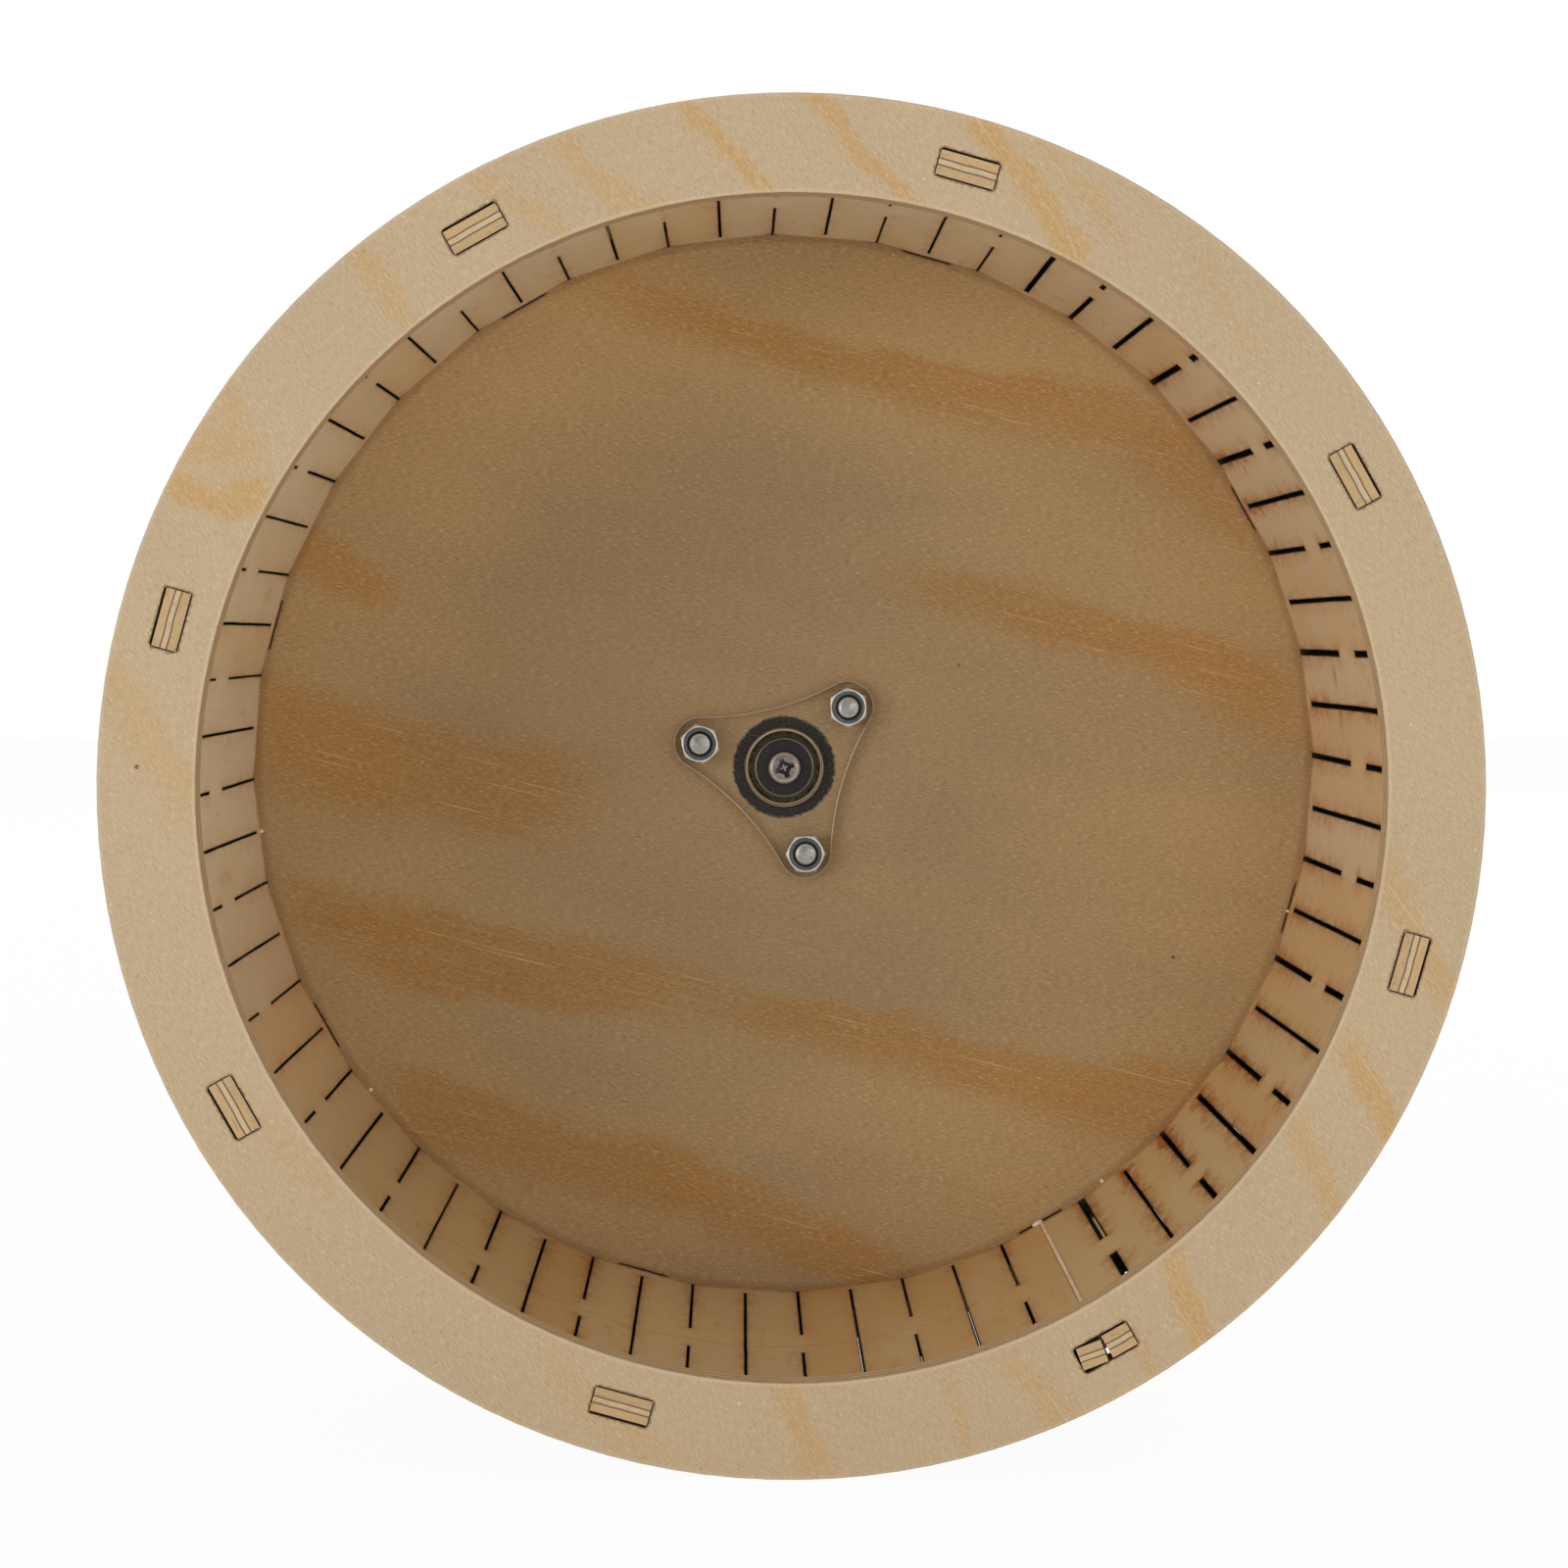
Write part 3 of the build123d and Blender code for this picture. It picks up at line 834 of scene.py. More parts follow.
    def bend(self, mesh):
        """Fold every slat into its place, and store where each point lay on the board."""
        layout, spots, cuts = self.layout, self.spots, self.cuts
        scorches = [
            scorch_at((layout.seam_angle + angle) % 360) * self.rng.uniform(0.7, 1.25) for angle in layout.lines
        ]
        for vertex in mesh.vertices:
            u, v, w = vertex.co.copy()
            slat = self.slat_of(max(u, 0) + 1e-9)
            first, second = self.line_point(slat, v), self.line_point(slat + 1, v)
            share = (u - spots[slat]) / (spots[slat + 1] - spots[slat])
            chord = second - first
            place = first + chord * share + Vector((chord.y, -chord.x)).normalized() * w
            index = self.line_of(u)
            if index in cuts and w > 0.5 * layout.board:
                spot, wide, _ = cuts[index]
                if abs(abs(u - spot) - wide / 2) < 0.12:
                    place = self.closed_side(index, v, w, 1 if u > spot else -1)
            self.flat.data[vertex.index].vector = (u, v, w)
            scorch = scorches[slat] * (1 - share) + scorches[slat + 1] * share
            long_line, edge_line = (slat, slat + 1) if slat % 2 == 0 else (slat + 1, slat)
            reach = [
                abs(u - spots[line]) - cuts[line][1] / 2 if line in cuts else 99.0 for line in (long_line, edge_line)
            ]
            self.near_cuts.data[vertex.index].vector = (*reach, scorch)
            vertex.co = (place.x * MM, -DISC_FRONT - v * MM, place.y * MM)

    def closed_side(self, index, v, w, side):
        """Outside the drum a cut closes up as the strip bends; the torn one stays open."""
        angle = radians(self.layout.seam_angle + self.layout.lines[index])
        radial = Vector((cos(angle), sin(angle)))
        off_line = side * (0.25 if index == 1 else 0.03)
        return self.line_point(index, v) + radial * w + Vector((-radial.y, radial.x)) * off_line

    def tilt_half_tab(self, mesh):
        """The strip's last half tab sits a little crooked in the pocket it shares."""
        layout = self.layout
        half = layout.tab_width / 2
        centre_angle = radians(layout.seam_angle) - half / 2 / layout.tread
        centre = Vector((cos(centre_angle), 0, sin(centre_angle))) * layout.tread * MM
        turn = Matrix.Rotation(radians(8), 4, "Y")
        for vertex, place in zip(mesh.vertices, self.flat.data):
            u, v, _ = place.vector
            if u > self.tabs[-1] - half - 0.01 and v > layout.width + 0.01:
                offset = turn @ ((Vector((vertex.co.x, 0, vertex.co.z)) - centre) * 0.93)
                vertex.co.x, vertex.co.z = centre.x + offset.x, centre.z + offset.z


def set_finishes(piece):
    """Faces, cut walls and board edges were numbered while the board lay flat."""
    for face, kind in zip(piece.data.polygons, piece.data.attributes["kind"].data):
        face.material_index = kind.value


def cut_halo(finish, layout):
    """How scorched a point of the strip is by the cuts beside it, and how near they are."""
    to_long, to_edge, scorch = finish.attribute("cuts")
    u, v, w = finish.attribute("board")
    half = layout.width / 2
    mid_off = abs(v - half)
    past_long = finish.math("MAXIMUM", mid_off - (half - layout.edge_bridge), 0.0)
    past_edge = finish.math("MAXIMUM", layout.middle_bridge / 2 - mid_off, 0.0)
    to_long = finish.math("MAXIMUM", to_long, 0.0)
    to_edge = finish.math("MAXIMUM", to_edge, 0.0)
    near_long = (to_long * to_long + past_long * past_long) ** 0.5
    near_edge = (to_edge * to_edge + past_edge * past_edge) ** 0.5
    return finish.math("MINIMUM", near_long, near_edge), scorch, (u, v, w)


def strip_face_finish(layout, tone):
    """Strip veneer: grain across the strip, toasted slats, brown halos and black lips at the cuts."""
    finish = Finish("strip_veneer")
    nearest, scorch, (u, v, w) = cut_halo(finish, layout)
    toast, _, _ = finish.attribute("slat")
    look = STRIP_LOOK.in_tone(tone)
    color, roughness, relief = veneer(finish, v, u, 0, look, [], 0.6)
    cloud = finish.noise(finish.vector(v * 0.03, u * 0.09, 1.0), 1.0, 3.0, 0.6)
    color = finish.mix(finish.ease(toast + (cloud - 0.5) * 1.2, 0.45, 1.0) * 0.6, color, look.warm)
    patch = finish.ease(finish.noise(finish.vector(v * 0.09, u * 0.2, 8.0), 1.0, 3.0, 0.65), 0.58, 0.75)
    color = finish.mix(patch * 0.5, color, look.band)
    waver = finish.noise(finish.vector(u * 0.5, v * 0.35, 2.0), 1.0, 3.0, 0.65)
    fuzz = finish.noise(finish.vector(u * 1.3, v * 1.3, 3.0), 1.0, 5.0, 0.75)
    uneven = finish.ease(finish.noise(finish.vector(u * 0.2, v * 0.16, 6.0), 1.0, 2.0), 0.36, 0.62)
    by_disc = finish.ease(v, 26.0, 3.0) * 0.6 + uneven * 0.5 + 0.35
    halo = finish.ease(nearest + (waver - 0.5) * 7.5, 3.6, -0.8) * scorch * by_disc
    color = finish.mix(finish.math("MINIMUM", halo, 0.95), color, TOAST)
    smoke = finish.ease(nearest + (fuzz - 0.5) * 2.6, 1.3, -0.6) * scorch * (uneven * 0.85 + 0.1)
    color = finish.mix(smoke * 0.7, color, linear(110, 70, 32))
    lip = finish.ease(nearest + (fuzz - 0.5) * 0.8, 0.32, 0.02) * (scorch * 0.6 + 0.4)
    color = finish.mix(lip, color, CHAR)
    at_disc = finish.ease(v + (waver - 0.5) * 3.0, 2.2, 0.0)
    color = finish.mix(at_disc * 0.55, color, TOAST)
    # Painted shade: the tabs' faces, down in the pockets' gaps, are made near black.
    tab_shade = finish.ease(v, layout.width, layout.width + 0.6) + finish.ease(v, 0.0, -0.6)
    color = finish.mix(tab_shade * 0.85, color, CHAR)
    degree = radians(layout.tread)  # in mm along the strip
    # Colour by angle on the drum: warmer and darker beside the seam; darker at the bottom left, a painted shade;
    # greyer and paler over the top and left, partly tone and partly painted light, and a little darker elsewhere.
    golden = finish.ease(u, 248 * degree, 292 * degree) + finish.ease(u, 62 * degree, 24 * degree)
    color = finish.mix(golden, color, (0.88, 0.82, 0.66), "MULTIPLY")
    shaded = finish.ease(u, 268 * degree, 284 * degree) * finish.ease(u, 318 * degree, 302 * degree)
    color = finish.mix(shaded, color, (0.88, 0.86, 0.80), "MULTIPLY")
    greyed_and_lit = finish.ease(u, 118 * degree, 142 * degree) * finish.ease(u, 262 * degree, 240 * degree)
    tone_and_light = finish.mix(greyed_and_lit, (0.91, 0.92, 0.93), (1.04, 1.14, 1.22))
    color = finish.mix(1.0, color, tone_and_light, "MULTIPLY")
    # Painted light: its outside is darkened back from the tones raised for the shaded inside.
    color = finish.mix(finish.ease(w, 1.0, 3.0), color, (0.70, 0.67, 0.62), "MULTIPLY")
    stain = finish.ease(u, 360 * degree - 0.75, 360 * degree - 0.4)
    color = finish.mix(stain * 0.6, color, linear(128, 76, 44))
    pencil = finish.ease(abs(v - 41.5), 0.35, 0.1) * finish.ease(u, 285 * degree, 292 * degree)
    color = finish.mix(pencil * finish.ease(u, 351 * degree, 345 * degree) * 0.35, color, linear(110, 96, 84))
    for angle, middle in ((70.8, 27), (66.3, 27)):
        smudge = finish.ease(abs(u - angle * degree), 3.2, 0.6) * finish.ease(abs(v - middle), 2.2, 0.2)
        color = finish.mix(smudge * 0.4, color, linear(104, 96, 92))
    normal = finish.bump(relief, 0.08, 0.5)
    return finish.close(finish.surface(color, roughness, normal, Specular_IOR_Level=0.3))


def strip_cut_finish():
    """Walls of the cuts: burnt nearly black, with the plies just showing."""
    finish = Finish("scorched_cut_wall")
    u, v, w = finish.attribute("board")
    soot = finish.noise(finish.vector(v * 0.8, w * 1.2, u), 1.0, 3.0, 0.7)
    stripe = finish.ease(abs(w / (BOARD / MM) - 0.5), 0.22, 0.14)
    color = finish.mix(finish.ease(soot, 0.5, 0.8) * 0.5, linear(12, 8, 6), linear(54, 36, 24))
    color = finish.mix(stripe * 0.12, color, linear(70, 52, 38))
    normal = finish.bump(soot, 0.1, 0.6)
    return finish.close(finish.surface(color, 0.85, normal, Specular_IOR_Level=0.2))


def strip_edge_finish():
    """Ends of the tabs, the strip's edges and its seam: three plies with glue lines."""
    finish = Finish("strip_ply_edge")
    u, v, w = finish.attribute("board")
    color, end_grain = plies(
        finish, 1 - w / (BOARD / MM), u, v, (linear(206, 172, 126), linear(212, 186, 146), linear(200, 168, 124))
    )
    cracks = finish.noise(finish.vector(u * 0.6, w * 7.0, v * 0.6), 1.0, 3.0, 0.7)
    color = finish.mix(finish.ease(cracks, 0.6, 0.72) * 0.6, color, linear(90, 60, 38))
    normal = finish.bump(end_grain + cracks, 0.12, 0.6)
    return finish.close(finish.surface(color, 0.8, normal, Specular_IOR_Level=0.2))


class WHEEL_OT_strip(bpy.types.Operator):
    """Cut the running strip flat, bend it round the drum and scorch its cuts"""

    bl_idname = "wheel.strip"
    bl_label = "Running Strip"

    def execute(self, context):
        layout = StripLayout()
        piece, cuts, tabs = lay_board(layout, "running_strip_bent")
        StripFold(layout, cuts, tabs).shape(piece)
        only(piece)
        bpy.ops.object.shade_flat()
        finishes = (
            strip_face_finish(layout, context.scene.wheel_look.strip_tone),
            strip_cut_finish(),
            strip_edge_finish(),
        )
        hand_over(piece, "wheel", ["running_strip"], "strip_plywood", *finishes)
        if len(piece.data.polygons) < 2000:
            raise RuntimeError("the strip's board wasn't cut")
        set_finishes(piece)
        return {"FINISHED"}


def dry_glue_finish():
    """Dried white glue, a little yellowed and dusty."""
    finish = Finish("dry_glue")
    x, y, z = finish.place()
    cloud = finish.noise(finish.vector(x * 0.8, y * 0.25, z * 0.8), 1.0, 3.0, 0.65)
    color = finish.mix(finish.ease(cloud, 0.4, 0.65), linear(252, 240, 222), linear(236, 206, 172))
    return finish.close(finish.surface(color, 0.4 + cloud * 0.3, finish.bump(cloud, 0.05, 0.5)))


class WHEEL_OT_glue(bpy.types.Operator):
    """Squeeze glue into the strip's seam and leave specks of it in the corner by the disc"""

    bl_idname = "wheel.glue"
    bl_label = "Glue"

    def execute(self, context):
        layout = StripLayout()
        finish = dry_glue_finish()
        seam = radians(layout.seam_angle)
        length = layout.width - 0.6
        bead = start("cube", "seam_glue", size=1)
        bead.scale = (layout.board - 0.3, SEAM_GAP + 0.2, length)
        settle(bead)
        pick(bead, "FACE", lambda middle, normal: normal.x > 0.9)
        bpy.ops.transform.resize(value=(1, 0.7, 0.99))
        done()
        pick(bead, "EDGE", lambda middle, way: middle.x < -1 and abs(way.z) > 1)
        bpy.ops.mesh.bevel(offset=0.2, segments=3, affect="EDGES")
        done()
        inner = layout.corner_radius * cos(radians(layout.lines[1])) - 0.05
        bead.matrix_world = (
            Matrix.Scale(MM, 4)
            @ Matrix.Rotation(-seam, 4, "Y")
            @ Matrix.Translation((inner + layout.board / 2 - 0.3, -DISC_FRONT / MM - layout.width / 2, 0))
            @ Matrix.Rotation(radians(90), 4, "X")
        )
        settle(bead)
        hand_over(bead, "wheel", [], None, finish)
        speck = start("ico_sphere", "speck", subdivisions=3, radius=0.5)
        pick(speck, "VERT", lambda co: co.z < 0)
        bpy.ops.transform.resize(value=(1, 1, 0.3))
        done()
        corner = layout.corner_radius
        for number, (angle, grow, tall) in enumerate(GLUE_DROPS, 1):
            drop = copy_of(speck, f"glue_speck_{number}")
            turn = radians(angle)
            reach = corner * cos(radians(5.2)) - 0.25
            drop.matrix_world = (
                Matrix.Translation((reach * cos(turn) * MM, -DISC_FRONT - 0.1 * MM, reach * sin(turn) * MM))
                @ Matrix.Rotation(-turn, 4, "Y")
                @ Matrix.Rotation(radians(90), 4, "X")
                @ Matrix.Diagonal((1.0 * MM, grow * MM, tall * MM, 1))
            )
            settle(drop)
            soften(drop, 80)
            hand_over(drop, "wheel", [], None, finish)
        bpy.data.objects.remove(speck)
        return {"FINISHED"}


# Metal, clear plastic and rubber


def metal_finish(name, color, roughness, mottling=0.25, grime=0.0, scale=3.0, slant=0.0, ring=None, well=None):
    """Plated or ground metal with mottling, scratches and grime.

    Slanted faces are painted paler, a painted highlight. A ring (x, z, inner, outer, rim) is painted dark between
    inner and outer, a painted shade, and paler past its rim, a painted highlight. A well (front, radius) is painted
    dark inside, a painted shade, with painted highlights on the facets that face one way.
    """
    finish = Finish(name)
    x, y, z = finish.place()
    point = finish.vector(x, y, z)
    cloud = finish.noise(point, scale, 4.0, 0.65)
    scratch = finish.noise(finish.vector(x * 1.2, y * 9.0, z * 1.2), 2.0, 2.0, 0.6)
    tint = finish.mix(finish.ease(cloud, 0.35, 0.7) * mottling, color, tuple(c * 0.45 for c in color))
    tint = finish.mix(finish.ease(cloud, 0.58, 0.74) * grime, tint, (0.03, 0.025, 0.02))
    facing_x, facing_y, facing_z = finish.facing()
    front = abs(facing_y)
    slanted = finish.ease(front, 0.97, 0.9) * finish.ease(front, 0.2, 0.45)
    if well:
        # Painted shade and highlights: the recess is made dark, with its facets pale or dark by the way each one
        # faces.
        inside = finish.ease(y, well[0] + 0.03, well[0] + 0.1) * ((x * x + z * z) ** 0.5 < well[1])
        slanted = slanted * (1 - inside)
        painted_light = finish.ease(facing_x * 0.5 - facing_z * 0.85 + (cloud - 0.5) * 0.8, -0.25, 0.45)
        painted_facets = finish.mix(painted_light, linear(52, 48, 44), linear(226, 224, 218))
        tint = finish.mix(inside * 0.9, tint, painted_facets)
    # Painted highlight: slanted faces are made paler, and rougher.
    tint = finish.mix(slanted * slant, tint, linear(226, 224, 216))
    if ring:
        # Painted shade: a dark ring round the countersink. Painted highlight: paler past the rim.
        off_x, off_z = x - ring[0] / MM, z - ring[1] / MM
        off = (off_x * off_x + off_z * off_z) ** 0.5
        ring_shade = finish.ease(off, ring[2] - 0.08, ring[2] + 0.08) * finish.ease(off, ring[3] + 0.12, ring[3] - 0.12)
        tint = finish.mix(ring_shade * 0.85, tint, linear(34, 32, 32))
        tint = finish.mix(finish.ease(off, ring[4], ring[4] + 0.25) * 0.9, tint, linear(222, 220, 214))
    rough = roughness + (scratch - 0.5) * 0.16 + (cloud - 0.5) * 0.14 + slanted * (slant * 0.28)
    normal = finish.bump(cloud * 0.7 + scratch * 0.3, 0.02, 0.35)
    return finish.close(finish.surface(tint, rough, normal, Metallic=1.0))


def clear_finish(name):
    """Clear cut plastic: almost nothing on its faces, frosted on its cut edges, gloss at a slant."""
    finish = Finish(name)
    x, y, z = finish.place()
    face = finish.ease(abs(finish.facing()[1]), 0.7, 0.97)
    wall = finish.ease(abs(finish.facing()[1]), 0.35, 0.1)
    smear = finish.noise(finish.vector(x * 0.35, y, z * 0.35), 1.0, 3.0, 0.6)
    rim = finish.node("LayerWeight", None, {"Blend": 0.12}, output="Fresnel")
    amount = 0.003 + smear * 0.004 + rim * 0.2 + (1 - face) * 0.42 + wall * 0.45
    body = finish.surface(
        finish.mix(face, linear(250, 238, 216), linear(240, 236, 228)), 0.08 + smear * 0.06, Coat_Weight=0.3
    )
    see_through = finish.node("BsdfTransparent", None, {"Color": (0.996, 0.994, 0.988, 1.0)})
    shader = finish.node("MixShader", None, {0: amount, 1: see_through, 2: body})
    return finish.close(shader)


def black_washer_finish():
    """Matte black washer with pale dust specks."""
    finish = Finish("matte_black_washer")
    x, y, z = finish.place()
    point = finish.vector(x, y, z)
    grain = finish.noise(point, 4.0, 3.0, 0.7)
    specks = finish.node("TexVoronoi", None, {"Vector": point, "Scale": 1.1})
    color = finish.mix(grain, linear(20, 18, 18), linear(44, 40, 38))
    color = finish.mix(finish.ease(specks, 0.12, 0.05) * 0.7, color, linear(150, 140, 126))
    normal = finish.bump(grain, 0.03, 0.5)
    return finish.close(finish.surface(color, 0.55 + grain * 0.25, normal, Specular_IOR_Level=0.4))


def race_finish():
    """Front of the bearing: two bright golden lines outside, a painted reflection of the wood, and a dark brown
    inside, a painted reflection of dark surroundings.
    """
    finish = Finish("bearing_race_steel")
    x, y, z = finish.place()
    radius = (x * x + z * z) ** 0.5
    cloud = finish.noise(finish.vector(x, y, z), 1.6, 4.0, 0.65)
    inner_line = finish.ease(abs(radius - 7.4), 0.14, 0.07)
    outer_line = finish.ease(radius, 7.68, 7.8)
    # Painted reflection: the dark brown inside stands in for dark surroundings mirrored in the steel.
    dark = finish.mix(finish.ease(cloud, 0.4, 0.75) * 0.8, linear(34, 26, 16), linear(96, 82, 52))
    # Painted reflection: the golden lines stand in for the wood mirrored in the steel.
    bright = finish.mix(cloud, linear(214, 192, 146), linear(160, 136, 92))
    color = finish.mix(finish.math("MAXIMUM", inner_line, outer_line), dark, bright)
    normal = finish.bump(cloud, 0.02, 0.4)
    return finish.close(finish.surface(color, 0.34 + cloud * 0.15, normal, Metallic=0.85))


# Hub plates, bolts, nuts and washers

BOLT_NUMBERS = (1, 2, 3)
BOLT_RADIUS = 2.0 * MM
BOLT_THREAD = 0.4 * MM  # depth of the thread
BOLT_HEAD = 2.6 * MM  # height of the head
BOLT_END = 0.5 * MM  # chamfer
PLATE_GAP = 0.03 * MM  # keeps the clear plate's back off the disc


def middle_of(node):
    low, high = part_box(node)
    return (low + high) / 2


class WHEEL_OT_hub_plates(bpy.types.Operator):
    """Polish the two clear hub plates"""

    bl_idname = "wheel.hub_plates"
    bl_label = "Hub Plates"

    def execute(self, context):
        for node in ("front_hub_plate", "rear_hub_plate"):
            plate = eased_copy(node, node + "_clear", 0.25 * MM)
            if node.startswith("front"):
                for vertex in plate.data.vertices:
                    if vertex.co.y > -DISC_FRONT - 0.001 * MM:
                        vertex.co.y = -DISC_FRONT - PLATE_GAP
            hand_over(plate, "wheel", [node], "clear_plate", clear_finish(node + "_finish"))
        return {"FINISHED"}


def threaded_rod(name, core, crest, pitch, length, flat_share, steps=28):
    """A rod along +Z with a helical thread, its ends cut square and closed."""
    tooth = pitch * (1 - flat_share) / 2
    profile = [(core, 0.0), (core, pitch / 2 - tooth), (crest, pitch / 2), (core, pitch / 2 + tooth), (core, pitch)]
    turns = int(length / pitch) + 3
    rod = start("plane", name, size=1)
    pick_all(rod)
    bpy.ops.mesh.delete(type="ONLY_FACE")
    bpy.ops.mesh.select_all(action="SELECT")
    bpy.ops.mesh.merge(type="CENTER")
    bpy.ops.transform.translate(value=(profile[0][0], 0, profile[0][1] - pitch))
    for (r0, z0), (r1, z1) in zip(profile, profile[1:]):
        bpy.ops.mesh.extrude_region_move(TRANSFORM_OT_translate={"value": (r1 - r0, 0, z1 - z0)})
    done()
    modify(
        rod,
        "SCREW",
        angle=2 * pi,
        screw_offset=pitch,
        iterations=turns,
        steps=steps,
        render_steps=steps,
        axis="Z",
        use_merge_vertices=True,
        merge_threshold=1e-6,
    )
    close_up(rod)
    for level, side in ((0.0, 1), (length, -1)):
        pick_all(rod)
        bpy.ops.mesh.bisect(
            plane_co=(0, 0, level), plane_no=(0, 0, side), use_fill=True, clear_inner=True, threshold=1e-7
        )
        done()
    close_up(rod)
    return rod


def pan_head(name, radius, height, arm, slot_width, depth, turn):
    """A pan head along +Z from its seat at 0, domed, with a tapering cross recess."""
    head = start("cylinder", name, vertices=72, radius=radius, depth=height, location=(0, 0, height / 2))
    settle(head)
    pick(head, "EDGE", lambda middle, way: middle.z > height * 0.99 and abs(way.z) < 1e-9)
    bpy.ops.mesh.bevel(offset=height * 0.5, segments=7, profile=0.5, affect="EDGES")
    done()
    cross = None
    for quarter in (0, 1):
        wing = start("cube", "wing", size=1, location=(0, 0, height))
        wing.scale = (arm, slot_width, depth * 2)
        settle(wing)
        pick(wing, "FACE", lambda middle, normal: normal.z < -0.9)
        bpy.ops.transform.resize(value=(0.2, 0.15, 1))
        done()
        wing.rotation_euler.z = turn + quarter * pi / 2
        settle(wing)
        if cross is None:
            cross = wing
        else:
            cut_with(cross, wing, "UNION")
    hollow = start(
        "cone",
        "recess_middle",
        vertices=32,
        radius1=slot_width * 0.2,
        radius2=slot_width * 0.8,
        depth=depth,
        location=(0, 0, height - depth / 2 + depth * 0.02),
    )
    settle(hollow)
    cut_with(cross, hollow, "UNION")
    cut_with(head, cross, "DIFFERENCE")
    return head


class WHEEL_OT_hub_bolts(bpy.types.Operator):
    """Model one hub bolt with its thread and recess and set three of them"""

    bl_idname = "wheel.hub_bolts"
    bl_label = "Hub Bolts"

    def execute(self, context):
        look = context.scene.wheel_look
        low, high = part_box("hub_bolt_1")
        radius = (high.x - low.x) / 2
        length = high.y - low.y - BOLT_HEAD
        pitch = look.bolt_pitch * MM
        rod = threaded_rod("bolt_thread", BOLT_RADIUS - BOLT_THREAD, BOLT_RADIUS, pitch, length, 0.12)
        trim = start("cylinder", "trim", vertices=48, radius=BOLT_RADIUS * 1.03, depth=length * 2)
        settle(trim)
        pick(trim, "EDGE", lambda middle, way: middle.z > length * 0.99 and abs(way.z) < 1e-9)
        bpy.ops.mesh.bevel(offset=BOLT_END, segments=2, affect="EDGES")
        done()
        cut_with(rod, trim, "INTERSECT")
        head = pan_head("bolt_head", radius, BOLT_HEAD, 7.4 * MM, 1.8 * MM, 1.5 * MM, 0.3)
        only(head)
        head.rotation_euler.x = pi
        settle(head)
        cut_with(rod, head, "UNION")
        close_up(rod)
        soften(rod, 40)
        finish = metal_finish("zinc_bolt", linear(158, 156, 148), 0.26, 0.6, 0.3, 2.2, 1.0)
        for number in BOLT_NUMBERS:
            node = f"hub_bolt_{number}"
            bolt = copy_of(rod, node + "_threaded")
            middle = middle_of(node)
            face_mouth(bolt, middle.x, -high.y + BOLT_HEAD, middle.z, number * 1.3)
            hand_over(bolt, "wheel", [node], "zinc_steel", finish)
        bpy.data.objects.remove(rod)
        return {"FINISHED"}


class WHEEL_OT_hub_nuts(bpy.types.Operator):
    """Break the edges of the nuts and washers and plate them"""

    bl_idname = "wheel.hub_nuts"
    bl_label = "Hub Nuts and Washers"

    def execute(self, context):
        plain = metal_finish("zinc_washer", linear(140, 138, 132), 0.26, 0.5, 0.3, 2.4, 0.6)
        for number in BOLT_NUMBERS:
            middle = middle_of(f"hub_nut_{number}")
            # Painted shade round each nut's countersink and a painted highlight near its outer edge.
            ring_shade_and_rim = (middle.x, middle.z, 1.9, 2.6, 3.2)
            finish = metal_finish(f"zinc_nut_{number}", linear(92, 92, 90), 0.2, 0.5, 0.4, 2.4, 1.0, ring_shade_and_rim)
            nut = eased_copy(f"hub_nut_{number}", f"hub_nut_{number}_plated", 0.26 * MM)
            hand_over(nut, "wheel", [f"hub_nut_{number}"], "zinc_steel", finish)
            washer = eased_copy(f"hub_washer_{number}", f"hub_washer_{number}_punched", 0.15 * MM)
            hand_over(washer, "wheel", [f"hub_washer_{number}"], "zinc_steel", plain)
        return {"FINISHED"}


class WHEEL_OT_bearing(bpy.types.Operator):
    """Finish the races, shields, balls and cage of the bearing"""

    bl_idname = "wheel.bearing"
    bl_label = "Ball Bearing"

    def execute(self, context):
        race = race_finish()
        steel = metal_finish("ground_steel", linear(188, 188, 190), 0.16, 0.15)
        # The shields are coloured dark brown.
        shield = metal_finish("dark_brown_shield", linear(70, 62, 50), 0.4, 0.5, 0.5, 1.4)
        nylon = Finish("cage_nylon")
        x, y, z = nylon.place()
        cloud = nylon.noise(nylon.vector(x, y, z), 1.5, 3.0)
        color = nylon.mix(cloud, linear(226, 220, 200), linear(196, 186, 160))
        nylon = nylon.close(nylon.surface(color, 0.45 + cloud * 0.2, nylon.bump(cloud, 0.02, 0.3)))
        dress("bearing_outer_race", race)
        dress("bearing_inner_race", race)
        dress("bearing_front_shield", shield)
        dress("bearing_rear_shield", shield)
        dress("bearing_balls", steel)
        dress("bearing_cage", nylon)
        return {"FINISHED"}


SCREW_HEAD = 2.2 * MM  # height of the head
SCREW_RADIUS = 1.75 * MM
SCREW_CORE = 1.2 * MM
SHANK_RADIUS = 1.3 * MM
SCREW_TAPER = 4.2 * MM  # length of the point
SCREW_OVERLAP = 0.5 * MM  # of the thread into the shank


